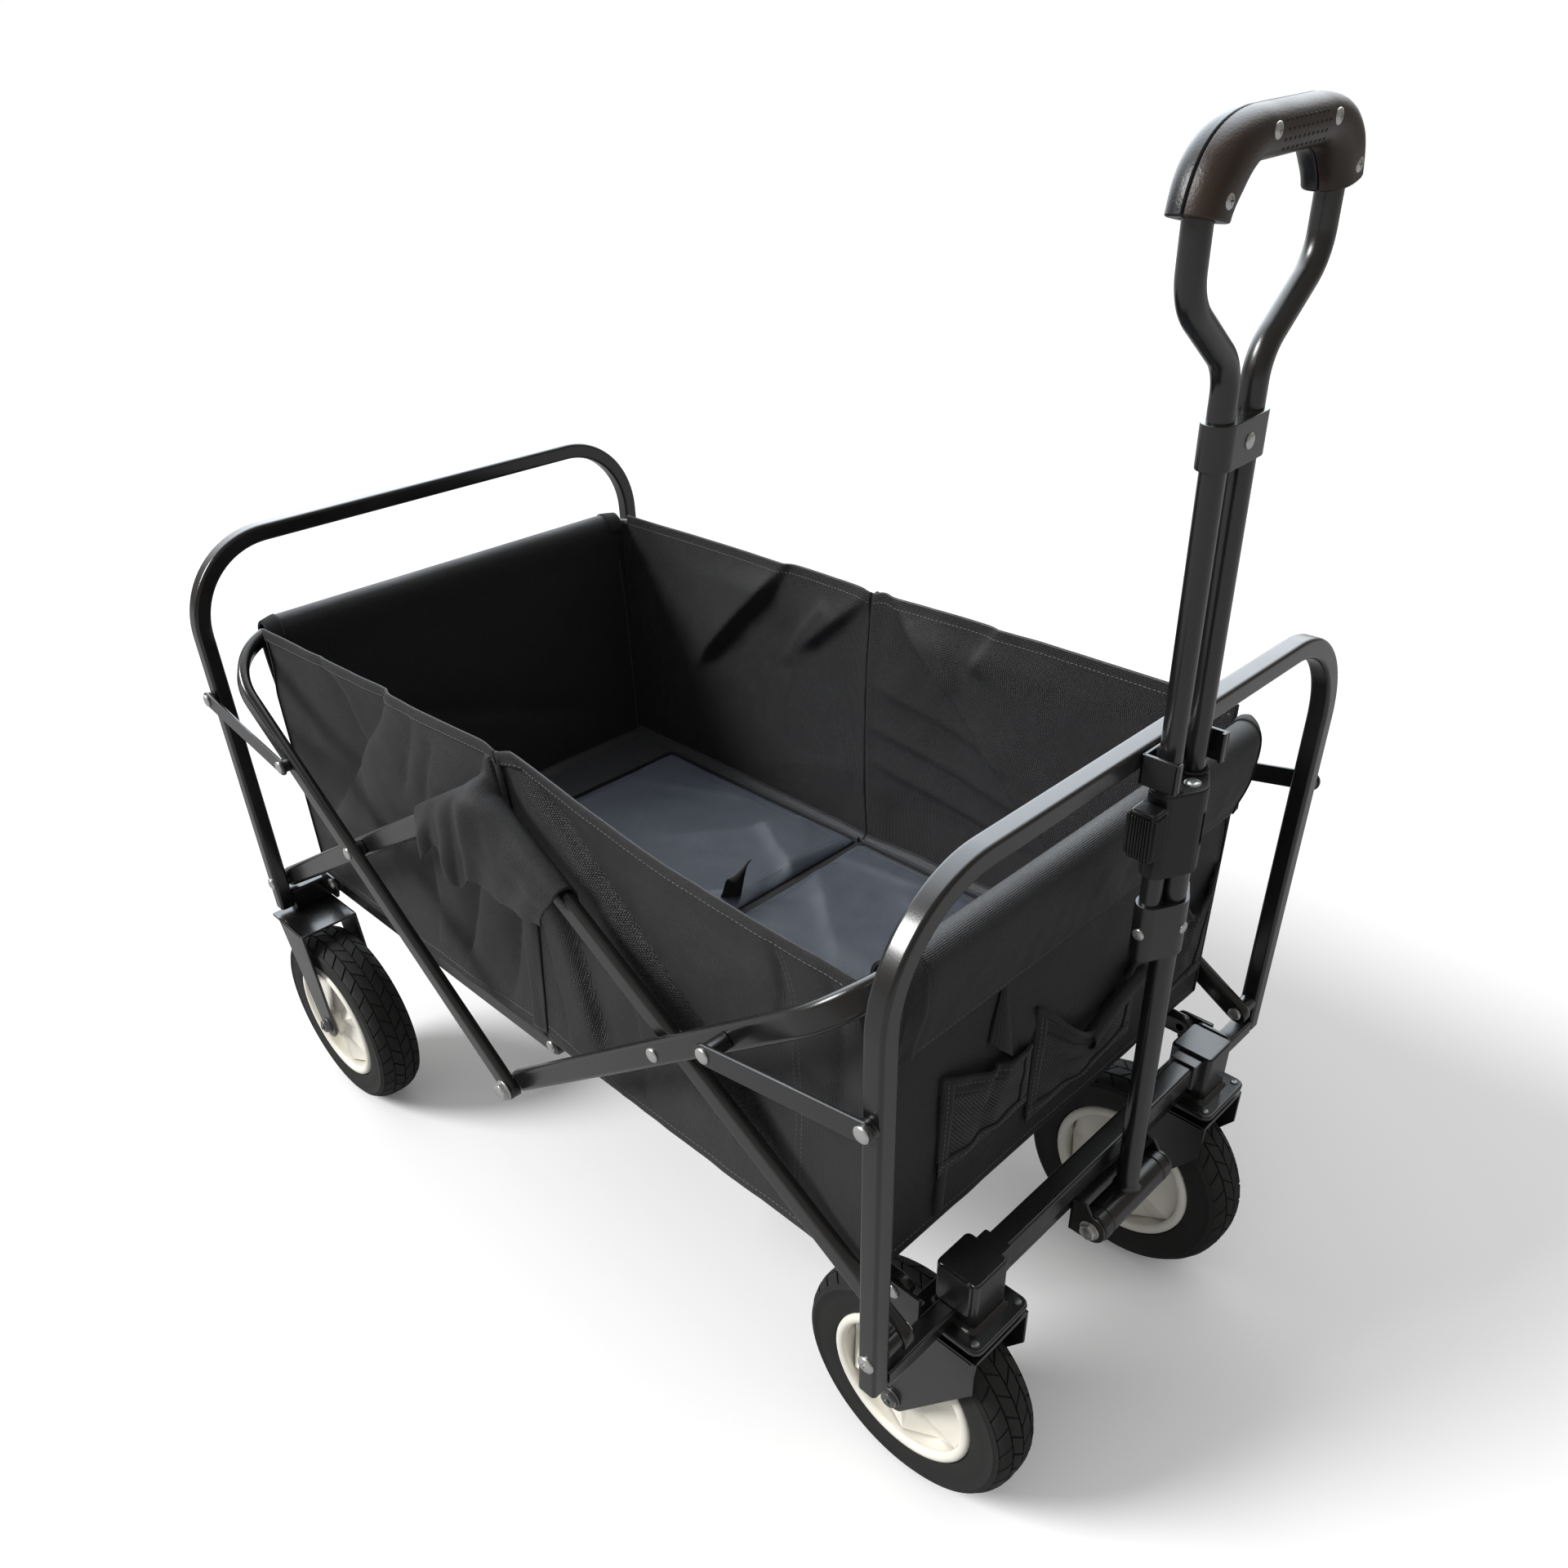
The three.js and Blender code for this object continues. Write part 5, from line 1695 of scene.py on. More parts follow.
def makeSide(end, side):
    at, turn = sidePanel(end, side), end * side
    size = (cloth["wallFace"], panelTall)
    name = f"{endName[end]}Side{sideTitle[side]}"
    node = f"{endName[end]}_side_{sideName[side]}"
    panel = makeSheet(name, at, (110, 80), size, hem=cloth["hem"], hemSide=-turn)
    hem = 1 - cloth["hem"] / panelTall * 0.82
    hemLift = threadLift + cloth["thick"] * 1.25
    lines = [
        seamLine(at, (0.01, hem), (0.985, hem), turn * threadLift),
        seamLine(at, (0.01, hem), (0.985, hem), -turn * hemLift),
        seamLine(at, (0.02, 0.03), (0.98, 0.03), -turn * threadLift),
    ]
    if end > 0:  # the panel's join near the front corner
        lines += [seamLine(at, (u, 0.02), (u, 0.95), -turn * threadLift) for u in (0.80, 0.815)]
    thread = stitched(f"{name}Stitches", lines)
    settleCloth(node, panel, thread)
    shorten((panel, thread))
    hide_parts(node)


# End walls. One sheet rises inside the tub, loops over the bail's bar and hangs outside.
endWall = {
    "sleeveEnd": {-1: 0.2075, 1: 0.2065},
    "endNarrow": 0.0045,  # the sleeve draws in round the bar at its ends
    "cornerTop": {-1: legFoot + 0.305, 1: legFoot + 0.283},
    "flapDrop": 0.064,  # the outer layer hangs this far below the bar
    "inner": -0.0086,  # the inner layer stands this far inside the bar
    "tape": 0.016,
    "blend": (0.100, 0.030),  # below the bar, where the sheet's ends follow the bent bail
}


def bailPoint(end, y):
    ahead = Vector((end, 0, bailSlope)).normalized()
    over = min(bailBend, max(0.0, abs(y) - (bailY[end] - bailBend)))
    back = bailBend - sqrt(bailBend * bailBend - over * over)
    return Vector((end * bailReach, y, bailTopZ)) - ahead * back


# The sheet's profile in the wall's own section: outwards from the bar, and up.
def wallProfile():
    drop, inner = endWall["flapDrop"], endWall["inner"]
    low = cloth["low"] - bailTopZ
    points = [(inner, low * share) for share in (1, 0.75, 0.5, 0.25)] + [(inner - 0.0002, -0.040)]
    points += [
        (-0.0096, -0.024), (-0.0110, -0.010), (-0.0114, -0.001), (-0.0104, 0.0068),
        (-0.0072, 0.0116), (-0.0020, 0.0136), (0.0036, 0.0134), (0.0086, 0.0108),
        (0.0122, 0.0058), (0.0134, -0.0008), (0.0132, -0.010), (0.0120, -0.022),
        (0.0098, -0.035), (0.0066, -0.048), (0.0034, -drop + 0.006), (0.0018, -drop),
    ]
    return smoothed([(a, b, 0) for a, b in points])


wallLine = wallProfile()
wallLengths = lengthsAlong(wallLine)


def wallPanel(end, lift=0.0):
    wide, reach = cloth["halfWide"] - 0.0008, endWall["sleeveEnd"][end]
    blendLow, blendHigh = endWall["blend"]

    def at(u, v):
        target = v * wallLengths[-1]
        j = min(bisect.bisect_right(wallLengths, target) - 1, len(wallLine) - 2)
        t = (target - wallLengths[j]) / (wallLengths[j + 1] - wallLengths[j])
        p = wallLine[j].lerp(wallLine[j + 1], t)
        tangent = (wallLine[j + 1] - wallLine[j]).normalized()
        outer = ease((v - 0.80) / 0.1)
        share = 2 * u - 1
        onBar = max(outer, ease((p.y + blendLow) / (blendLow - blendHigh)))
        y = share * (wide + (reach - wide) * onBar)
        bar = bailPoint(end, y)
        # the hanging layer bends less than the bar
        bar.x += (end * bailReach - bar.x) * 0.6 * outer
        x = end * bailReach + (bar.x - end * bailReach) * onBar
        z = bailTopZ + (bar.z - bailTopZ) * onBar + p.y
        sway = ripple(0.0016, y * 9 + 5 * end, z * 12, 4.0)
        sway += ripple(0.0007, y * 33, z * 30, 9.0 * end)
        slant = exp(-(((p.y + 0.15 + y * 0.35) / 0.012) ** 2))
        sway += 0.0022 * slant * ease((0.17 - abs(y - 0.02)) / 0.1)
        sway *= ease((1 - abs(share)) / 0.1) * (1 - onBar)
        loose = ripple(0.0022, y * 22, p.y * 34, 2.0 * end) + ripple(0.0012, y * 60, p.y * 50, 6.0)
        sway += loose * ease((v - 0.84) / 0.08) * ease((1 - v) / 0.03)
        tuck = tuckAt(z) * ease((abs(y) - 0.178) / 0.030) * (1 - onBar)
        narrow = endWall["endNarrow"] * ease((abs(share) - 0.90) / 0.1)
        narrow *= ease((p.x + 0.004) / 0.012)
        out = p.x - tangent.y * lift + sway - tuck - narrow
        return (x + end * out, y, z + tangent.x * lift)

    return at


def makeEndWall(end):
    name, body = endName[end], f"{endName[end]}_wall"
    at, size = wallPanel(end), (2 * cloth["halfWide"], wallLengths[-1])
    panel = makeSheet(f"{name}Wall", at, (150, 190), size)
    lifts = [threadLift * s for s in sides]
    lines = [seamLine(at, (0.01, 0.988), (0.99, 0.988), lift, 110) for lift in lifts]
    lines += [
        seamLine(at, (u, 0.02), (u, 0.60), lift, 80) for u in (0.014, 0.986) for lift in lifts
    ]
    lines.append(seamLine(at, (0.02, 0.022), (0.98, 0.022), threadLift * end, 90))
    thread = stitched(f"{name}WallStitches", lines)
    settleCloth(body, panel, thread)
    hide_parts(body)
    # ribbed tape binds each end of the sleeve
    share, over = endWall["tape"] / size[0], wallPanel(end, 0.0013)
    tapeSize = (endWall["tape"], 0.3 * size[1])
    for side in sides:
        first = 0.0 if side < 0 else 1 - share
        tape = makeSheet(
            f"{name}SleeveTape{sideTitle[side]}",
            lambda u, v: over(first + u * share, 0.70 + v * 0.298),
            (6, 90), tapeSize, trimCloth, 0.001,
        )
        settleCloth(body, tape)


# Flaps over the top of the scissors. Each hangs from a tab on the hem, over both arms.
topFlap = {
    "rear": (-0.086, -0.078),  # its rear end, at the arms' top and at its lower edge
    "front": (0.093, 0.080),
    # its lower edge: how far ahead of the top pivot, and how far below it
    "low": [
        (-0.080, -0.078), (-0.058, -0.058), (-0.030, -0.084), (-0.005, -0.066),
        (0.025, -0.070), (0.050, -0.071), (0.085, -0.069),
    ],
    "tab": 0.016,
    "size": (0.179, 0.120),
    "keep": 0.18,
}


def heightBetween(table, x):
    for (a, low), (b, high) in zip(table, table[1:]):
        if x <= b:
            return low + (high - low) * ease((x - a) / (b - a))
    return table[-1][1]


# A place at a share of the way along a smooth curve through the points
def curvePoint(points, share):
    k = share * (len(points) - 1)
    j = min(int(k), len(points) - 2)
    t = k - j
    before, after = points[max(j - 1, 0)], points[min(j + 2, len(points) - 1)]
    a, b = points[j], points[j + 1]
    square = (2 * before - 5 * a + 4 * b - after) * t**2
    cube = (3 * a - before - 3 * b + after) * t**3
    return 0.5 * (2 * a + (b - before) * t + square + cube)


def flapPoint(side):
    near = armY[-1] + tubeWide / 2
    inside = armY[1] - tubeWide / 2
    (rearTop, rearLow), (frontTop, frontLow) = topFlap["rear"], topFlap["front"]

    def at(u, v):
        xTop = rearTop + u * (frontTop - rearTop)
        xLow = rearLow + u * (frontLow - rearLow)
        armTop = topPinZ - armSlope * sqrt(xTop * xTop + 4e-5)
        armTop += tubeTall / 2 * hypot(1, armSlope) + 0.0012
        lowEdge = topPinZ + heightBetween(topFlap["low"], xLow)
        tab = ease(1 - abs(xTop) / topFlap["tab"])
        # the front arm runs inside the rear one, so the roll steps over at the pin
        shift = (tubeWide + 0.002) * ease((xTop - 0.010) / 0.03) * 0.55
        face = near - shift * (1 - ease((v - 0.45) / 0.4))
        bump = 0.0035 * ease(1 - abs(xTop) / 0.022)
        inner = inside + (0.010 if xTop < -0.02 else 0.0) * ease((-xTop - 0.02) / 0.02)
        rise = cloth["middleTop"] - armTop
        points = [
            (inner - 0.0022 - 0.002 * tab, armTop - 0.012 + (rise + 0.008) * tab),
            (inner - 0.0014, armTop - 0.003 + (rise - 0.002) * tab),
            (inner + 0.0025, armTop + 0.0022 + 0.008 * tab),
            ((inner + face) / 2 + 0.001, armTop + 0.0040 + 0.003 * tab),
            (face - 0.0012, armTop + 0.0016),
            (face + 0.0026 + bump, armTop - 0.008),
            (near + 0.0036 - shift * 0.4 + bump, armTop + (lowEdge - armTop) * 0.45),
            (near + 0.0036, armTop + (lowEdge - armTop) * 0.75),
            (near + 0.0030, lowEdge),
        ]
        p = curvePoint([Vector(q) for q in points], v)
        rear = ease((0.02 - xTop) / 0.05)
        wave = (0.0010 + 0.0040 * rear) * sin(xTop * 165 + 3.4 * v + side)
        wave *= ease((v - 0.5) / 0.4)
        wave += ripple(0.0014, xTop * 50, v * 6, side * 2.0) * ease((v - 0.4) / 0.2)
        x = xTop + (xLow - xTop) * ease((v - 0.35) / 0.65)
        return (x, side * (p.x + max(-0.0012, wave)), p.y)

    return at


def makeFlap(side):
    at, size = flapPoint(side), topFlap["size"]
    name = f"topFlap{sideTitle[side]}"
    flap = makeSheet(name, at, (110, 72), size, thick=0.0011)
    lift = -0.0007 * side
    lines = [seamLine(at, (0.02, v), (0.98, v), lift) for v in (0.965, 0.93)]
    lines += [seamLine(at, (u, 0.55), (u, 0.965), lift, 24) for u in (0.02, 0.98)]
    thread = stitched(f"{name}Stitches", lines, 0.0038)
    settleCloth("rear_wall", flap, thread)
    shorten((flap, thread))
    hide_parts(f"top_flap_{sideName[side]}")


# Slack mesh pockets on the front wall, each with a cloth band along its mouth. A pocket runs
# from one y to another; its mouth's two ends, sag, foot and bulge are given with it.
netting = {"cell": 0.0034, "thread": 0.00042, "edge": 0.0102, "band": 0.0115, "thick": 0.0013}
pockets = {
    "pocketRight": {
        "across": (-0.148, -0.046), "mouth": (0.402, 0.366), "sag": 0.004, "low": 0.312,
        "bulge": 0.0075, "slack": 0.42,
    },
    "pocketMiddle": {
        "across": (-0.044, 0.094), "mouth": (0.398, 0.376), "sag": 0.046, "low": 0.290,
        "bulge": 0.0110, "slack": 0.60,
    },
    "pocketLeft": {
        "across": (0.136, 0.204), "mouth": (0.404, 0.398), "sag": 0.034, "low": 0.292,
        "bulge": 0.0070, "slack": 0.30,
    },
}
pocketFace = cloth["wallFace"] + 0.0004


def pocketPoint(spec):
    (first, last), (right, left), bulge = spec["mouth"], spec["across"], spec["bulge"]

    def at(u, v):
        belly = sin(pi * u)
        top = first + (last - first) * u - spec["sag"] * belly**1.4
        z = spec["low"] + (top - spec["low"]) * v
        out = bulge * belly**0.7 * (0.2 + 0.8 * ease(v * 1.15)) * ease(v / 0.12 + 0.1)
        slack = exp(-(((u - spec["slack"] - 0.16 * v) / 0.07) ** 2))
        out -= 0.55 * bulge * slack * ease(v * 1.5)
        out += ripple(0.0030, u * 6 + last * 90, v * 5, 3.3) * belly
        return (pocketFace + max(0.0004, out), right + u * (left - right), z)

    return at


# A strip of a sheet between two shares each way, lifted off it
def stripOf(at, u0, u1, v0, v1, lift):
    def stripAt(u, v):
        x, y, z = at(u0 + u * (u1 - u0), v0 + v * (v1 - v0))
        return (x + lift, y, z)

    return stripAt


def makePocket(name, spec):
    at = pocketPoint(spec)
    wide = spec["across"][1] - spec["across"][0]
    talls = [mouth - spec["low"] for mouth in spec["mouth"]]
    tall = sum(talls) / 2 - 0.6 * spec["sag"]
    band, edge, foot = netting["band"] / tall, netting["edge"] / wide, netting["edge"] / tall
    columns, rows = round(wide / netting["cell"]), round(tall * (1 - band) / netting["cell"])
    bm = bmesh.new()
    grid = [
        [bm.verts.new(at(i / columns, (1 - band) * j / rows)) for i in range(columns + 1)]
        for j in range(rows + 1)
    ]
    # a diamond net: threads run along both diagonals of the cells
    for j in range(rows):
        for i in range(columns):
            bm.edges.new((grid[j][i], grid[j + 1][i + 1]))
            bm.edges.new((grid[j][i + 1], grid[j + 1][i]))
    mesh = net.grow(f"{name}Net", bm, netThread, Thread=netting["thread"])
    lines = [
        seamLine(at, (0.02, 1 - band * 0.45), (0.98, 1 - band * 0.45), 0.0011),
        seamLine(at, (0.02, foot / 2), (0.98, foot / 2), 0.0021),
    ]
    lines += [seamLine(at, (u, 0.03), (u, 0.97), 0.0019) for u in (edge / 2, 1 - edge / 2)]
    thread = stitched(f"{name}Stitches", lines)
    settleCloth("front_wall", mesh, thread)
    border = netting["edge"]
    for label, part, size, counts, hem in (
        ("Band", (0, 1, 1 - band, 1, 0.0), (wide, netting["band"]), (60, 8), 0.004),
        ("EdgeRight", (0, edge, 0, 1, 0.0010), (border, talls[0]), (4, 50), 0),
        ("EdgeLeft", (1 - edge, 1, 0, 1, 0.0010), (border, talls[1]), (4, 50), 0),
        ("Foot", (0, 1, 0, foot, 0.0012), (wide, border), (60, 4), 0),
    ):
        strip = makeSheet(
            name + label, stripOf(at, *part), counts, size, trimCloth, netting["thick"], hem
        )
        settleCloth("front_wall", strip)


# Loose cloth on the front wall: a standing pleat above the right pocket, a binding that runs on
# below it, and the middle pocket's rolled band.
def makeLoosePieces():
    right, low = pockets["pocketRight"]["across"][0], pockets["pocketRight"]["low"]

    def pleat(u, v):
        y = -0.086 + (1 - v) * (-0.014 + u * 0.040)
        z = 0.452 - (1 - v) * (0.050 + 0.040 * u)
        out = (1 - v) ** 0.8 * sin(pi * min(1, u * 1.35)) ** 0.8
        return (pocketFace + 0.0006 + 0.0085 * out, y, z)

    def binding(u, v):
        y = right + 0.003 + u * 0.0104 - 0.004 * (1 - v)
        z = low - 0.038 + 0.050 * v
        return (pocketFace + 0.0010 + 0.0012 * sin(pi * u), y, z)

    def roll(u, v):
        z = 0.334 + 0.024 * v + 0.004 * sin(3 * v)
        turn = radians(-150 + 330 * u)
        radius = 0.0052 - 0.0012 * v + 0.0016 * u
        x = pocketFace + 0.0105 + radius * cos(turn)
        return (x, 0.018 + 0.072 * v, z + radius * sin(turn) * 1.25)

    for name, shape, counts, size, finish, held in (
        ("frontPleat", pleat, (24, 30), (0.022, 0.075), wovenCloth, "hung"),
        ("frontBinding", binding, (4, 30), (0.0104, 0.050), trimCloth, "stretched"),
        ("frontRoll", roll, (24, 40), (0.030, 0.076), wovenCloth, "folded"),
    ):
        obj = makeSheet(name, shape, counts, size, finish, 0.001)
        settleCloth("front_wall", obj)


# The place at a height z on a sheet's line of equal u
def placeAtHeight(sheet, u, z, most):
    low, high = 0.0, most
    for _ in range(24):
        mid = (low + high) / 2
        low, high = (mid, high) if sheet(u, mid)[2] < z else (low, mid)
    return Vector(sheet(u, low))


# A strip closes each corner between a side and an end wall
def makeCorner(end, side, steps=60):
    wall, panel = wallPanel(end), sidePanel(end, side)
    low = cloth["low"] + 0.002
    high = min(endWall["cornerTop"][end], Vector(panel(1, 1)).z) - 0.002
    rows = []
    for k in range(steps + 1):
        z = low + (high - low) * k / steps
        fromSide = placeAtHeight(panel, 0.985, z, 1.0)
        rows.append((fromSide, placeAtHeight(wall, 0.5 + side * 0.488, z, 0.70)))

    def at(u, v):
        k = min(int(v * steps), steps - 1)
        a, b = (rows[k][i].lerp(rows[k + 1][i], v * steps - k) for i in (0, 1))
        corner = Vector((b.x - end * 0.002, a.y - side * 0.002, a.z))
        p = (1 - u) ** 2 * a + 2 * u * (1 - u) * corner + u * u * b
        return p + Vector((end * 0.0016, side * 0.0016, 0))

    across = 1.1 * sum((b - a).length for a, b in rows) / len(rows)
    size = (max(0.0105, across), high - low)
    obj = makeSheet(f"{endName[end]}Corner{sideTitle[side]}", at, (10, steps), size)
    settleCloth(f"{endName[end]}_wall", obj)


for end in ends:
    makeEndWall(end)
    for side in sides:
        makeSide(end, side)
        makeCorner(end, side)
for side in sides:
    makeFlap(side)
for name, spec in pockets.items():
    makePocket(name, spec)
makeLoosePieces()
print("cloth tub made")


# Floor: the tub's own cloth bottom on its board, and a coated mat on it in two halves
floorMat = {
    "base": floorPinZ + tubeTall / 2 + clear,
    "baseTop": floorPinZ + 0.0215,
    "baseHalf": clothHalfWide - 0.006,
    "baseReach": bailReach - 0.0125,
    "matLow": floorPinZ + 0.0213,
    "matTop": floorPinZ + 0.0302,
    "sideInset": 0.012,
    "lip": (0.011, 0.0068),  # the floor cloth's rim: how wide, how high
    "endInset": {-1: 0.070, 1: 0.009},
    "seamInset": 0.016,
    "voxel": 0.0045,
    "frames": 20,
    "most": 0.0035,  # how far the filling may swell the mat
}

# Creases of each mat half: from and to (distance from the middle, y), widths, height
matCreases = {
    -1: [
        ((0.004, 0.100), (0.110, 0.150), 0.006, 0.035, 0.0056),
        ((0.004, 0.060), (0.090, -0.060), 0.007, 0.045, 0.0052),
        ((0.060, 0.180), (0.150, 0.060), 0.026, 0.009, 0.0046),
        ((0.120, -0.040), (0.240, 0.120), 0.009, 0.045, 0.0046),
        ((0.030, -0.180), (0.200, -0.090), 0.009, 0.036, 0.0044),
        ((0.150, 0.170), (0.260, 0.120), 0.007, 0.020, 0.0028),
    ],
    1: [
        ((0.004, 0.120), (0.130, 0.020), 0.006, 0.040, 0.0056),
        ((0.004, 0.150), (0.170, 0.170), 0.009, 0.028, 0.0044),
        ((0.010, 0.010), (0.150, -0.130), 0.007, 0.045, 0.0054),
        ((0.110, 0.140), (0.300, 0.020), 0.007, 0.045, 0.0050),
        ((0.150, -0.150), (0.300, -0.060), 0.010, 0.036, 0.0044),
        ((0.180, 0.110), (0.240, -0.080), 0.008, 0.020, 0.0026),
    ],
}


def makeFloorBase(end):
    name, body = endName[end], f"{endName[end]}_floor"
    top, (lipWide, lipHigh) = floorMat["baseTop"], floorMat["lip"]
    xs = (end * clear, end * floorMat["baseReach"])
    zs = (floorMat["base"], top - 0.0012)
    bm = bmesh.new()
    roundBox(bm, xs, about(0, floorMat["baseHalf"]), zs, 0.002, 0.004)
    board = objectOf(f"{name}FloorBoard", bm, wovenCloth)
    settle(board, body, [f"{name}_floor_pad"])

    wall, panels = wallPanel(end), {side: sidePanel(end, side) for side in sides}

    def at(u, v):
        outX = abs(wall(v, 0.012)[0]) - 0.0009
        outY = abs(panels[1 if v > 0.5 else -1](u, 0.015)[1]) - 0.0009
        x, y = clear + u * (outX - clear), (2 * v - 1) * outY
        wave = ripple(0.0016, x * 22 * end, y * 18, 1.0) + ripple(0.0006, x * 70, y * 60, end * 5.0)
        edge = min(outX - x, outY - abs(y))
        lip = lipHigh * ease((lipWide - edge) / lipWide)  # its rim stands against the walls
        return (end * x, y, top - 0.0006 + max(0.0, wave) + lip)

    size = (bailReach - 0.009, 2 * (cloth["halfWide"] - 0.001))
    cover = makeSheet(f"{name}FloorCloth", at, (110, 120), size, floorCloth, 0.001)
    settleCloth(body, cover)


# Strips of cloth behind the seams in the middle, where the two halves of the tub meet
seamStrip = {"back": 0.014, "over": 0.005, "floorHigh": 0.0004, "thick": 0.0008}


def makeSeamStrips():
    over, thick = seamStrip["over"], seamStrip["thick"]
    wide, half = seamStrip["back"] + over, floorMat["baseHalf"]
    z = floorMat["baseTop"] + seamStrip["floorHigh"]

    def onFloor(u, v):
        return (over - wide * u, half * (2 * v - 1), z)

    size = (wide, 2 * half)
    strip = makeSheet("floorSeamStrip", onFloor, (6, 60), size, trimCloth, thick)
    settleCloth("rear_floor", strip)
    size = (wide, panelTall)
    for side in sides:
        panels = {end: sidePanel(end, side) for end in ends}

        def onSide(u, v):
            x = over - wide * u
            share = max(0.0, (abs(x) - clear) / (cloth["wallFace"] - clear))
            _, y, z = panels[1 if x > 0 else -1](share, v * 0.985)
            return (x, y + side * (cloth["thick"] + 0.0002), z)

        name = f"{sideName[side]}SeamStrip"
        strip = makeSheet(name, onSide, (8, 80), size, trimCloth, thick)
        settleCloth(f"rear_side_{sideName[side]}", strip)
        shorten([strip])


# The filling swells the mat's cloth, as far as the most it may.
def swell(obj):
    start = [v.co.copy() for v in obj.data.vertices]
    sim = obj.modifiers.new("filling", "CLOTH")
    sim.settings.use_pressure = True
    sim.settings.uniform_pressure_force = 4
    sim.settings.effector_weights.gravity = 0
    sim.settings.quality = 4
    sim.point_cache.frame_start, sim.point_cache.frame_end = 1, floorMat["frames"]
    for moment in range(1, floorMat["frames"] + 1):
        scene.frame_set(moment)
    applied(obj)
    scene.frame_set(1)
    most = floorMat["most"]
    for v, before in zip(obj.data.vertices, start):
        moved = v.co - before
        if moved.length > most:
            v.co = before + moved * (most / moved.length)


# The mat's upper face takes its creases, and dips along the seam round its edge.
def creaseMat(mat, end, reach, half):
    low, top = floorMat["matLow"], floorMat["matTop"]
    for v in mat.data.vertices:
        x, y, z = v.co
        upper = ease((z - low) / (top - low))
        edge = min(reach - abs(x - middleX), half - abs(y))
        dip = 0.0011 * exp(-(((edge - floorMat["seamInset"]) / 0.0022) ** 2))
        wave = ripple(0.0026, x * 16, y * 11, 3.0 + end) + ripple(0.0009, x * 44, y * 38, 8.0)
        wave += sum(foldHeight((abs(x - middleX), y), *crease) for crease in matCreases[end])
        v.co.z = max(z, low) + upper * (wave * ease(edge / 0.02) - dip)


# The mat's outline at an inset from its edge, as (x, y) corners
def matOutline(end, reach, half, inset, seam=None):
    a, b = end * (clear * 2 + (inset if seam is None else seam)), end * (reach - inset)
    return [(a, inset - half), (b, inset - half), (b, half - inset), (a, half - inset)]


def filledMat(end, reach, half):
    low, top = floorMat["matLow"], floorMat["matTop"]
    grow = floorMat["most"] * 0.8
    xs, zs = (end * clear * 2, end * reach), (low + 0.0002, top - 0.0012 - grow)
    bm = bmesh.new()
    roundBox(bm, xs, about(0, half), zs, 0.0028, 0.006, 3)
    mat = objectOf(f"{endName[end]}Mat", bm, coatedCloth)
    even = mat.modifiers.new("even", "REMESH")
    even.mode, even.voxel_size = "VOXEL", floorMat["voxel"]
    applied(mat)
    swell(mat)
    creaseMat(mat, end, reach, half)
    smooth = mat.modifiers.new("smooth", "SUBSURF")
    smooth.levels = smooth.render_levels = 1
    applied(mat)
    uv = mat.data.uv_layers.new(name="cloth")
    for loop in mat.data.loops:
        uv.data[loop.index].uv = mat.data.vertices[loop.vertex_index].co[:2]
    mat.data.polygons.foreach_set("use_smooth", [True] * len(mat.data.polygons))
    return mat


# A line on the mat's face, all round its seam
def matSeam(mat, end, reach, half):
    top = floorMat["matTop"]
    surface = BVHTree.FromPolygons(
        [v.co for v in mat.data.vertices], [list(p.vertices) for p in mat.data.polygons]
    )
    corners = matOutline(end, reach, half, floorMat["seamInset"])
    line = []
    for p, q in zip(corners, corners[1:] + corners[:1]):
        for k in range(40):
            x, y = p[0] + (q[0] - p[0]) * k / 40, p[1] + (q[1] - p[1]) * k / 40
            hit = surface.ray_cast(Vector((x + middleX, y, top + 0.02)), -alongZ)[0]
            line.append(Vector((x, y, (hit.z if hit else top - 0.0009) + 0.00015)))
    return line + [line[0].copy()]


def makeMat(end):
    name, body = endName[end], f"{endName[end]}_floor"
    reach = floorMat["baseReach"] - floorMat["endInset"][end]
    half = floorMat["baseHalf"] - floorMat["sideInset"]
    mat = filledMat(end, reach, half)
    thread = stitched(f"{name}MatStitches", [matSeam(mat, end, reach, half)], 0.0045, matThread)
    mid = (floorMat["matLow"] + floorMat["matTop"]) / 2 - 0.0006
    corners = [(x, y, mid) for x, y in matOutline(end, reach, half, 0.0004, 0.0022)]
    bm = bmesh.new()
    sweep(bm, bentPath(corners, 0.006, 6), roundRect(0.0030, 0.0058, 0.0014, 3), alongZ)
    piping = objectOf(f"{name}MatBinding", bm, bindingCloth)
    for obj in (mat, thread, piping):
        settle(obj, body)


# The webbing tab at the middle of the mat, which lifts the floor to fold the wagon
tab = {
    "wide": 0.021,
    "foot": (-0.028, 0.036),
    "peak": (-0.008, 0.016),
    "high": 0.040,
    "thick": 0.0016,
    "slant": 0.024,
    "curl": 0.0020,
    "lean": 0.016,
}


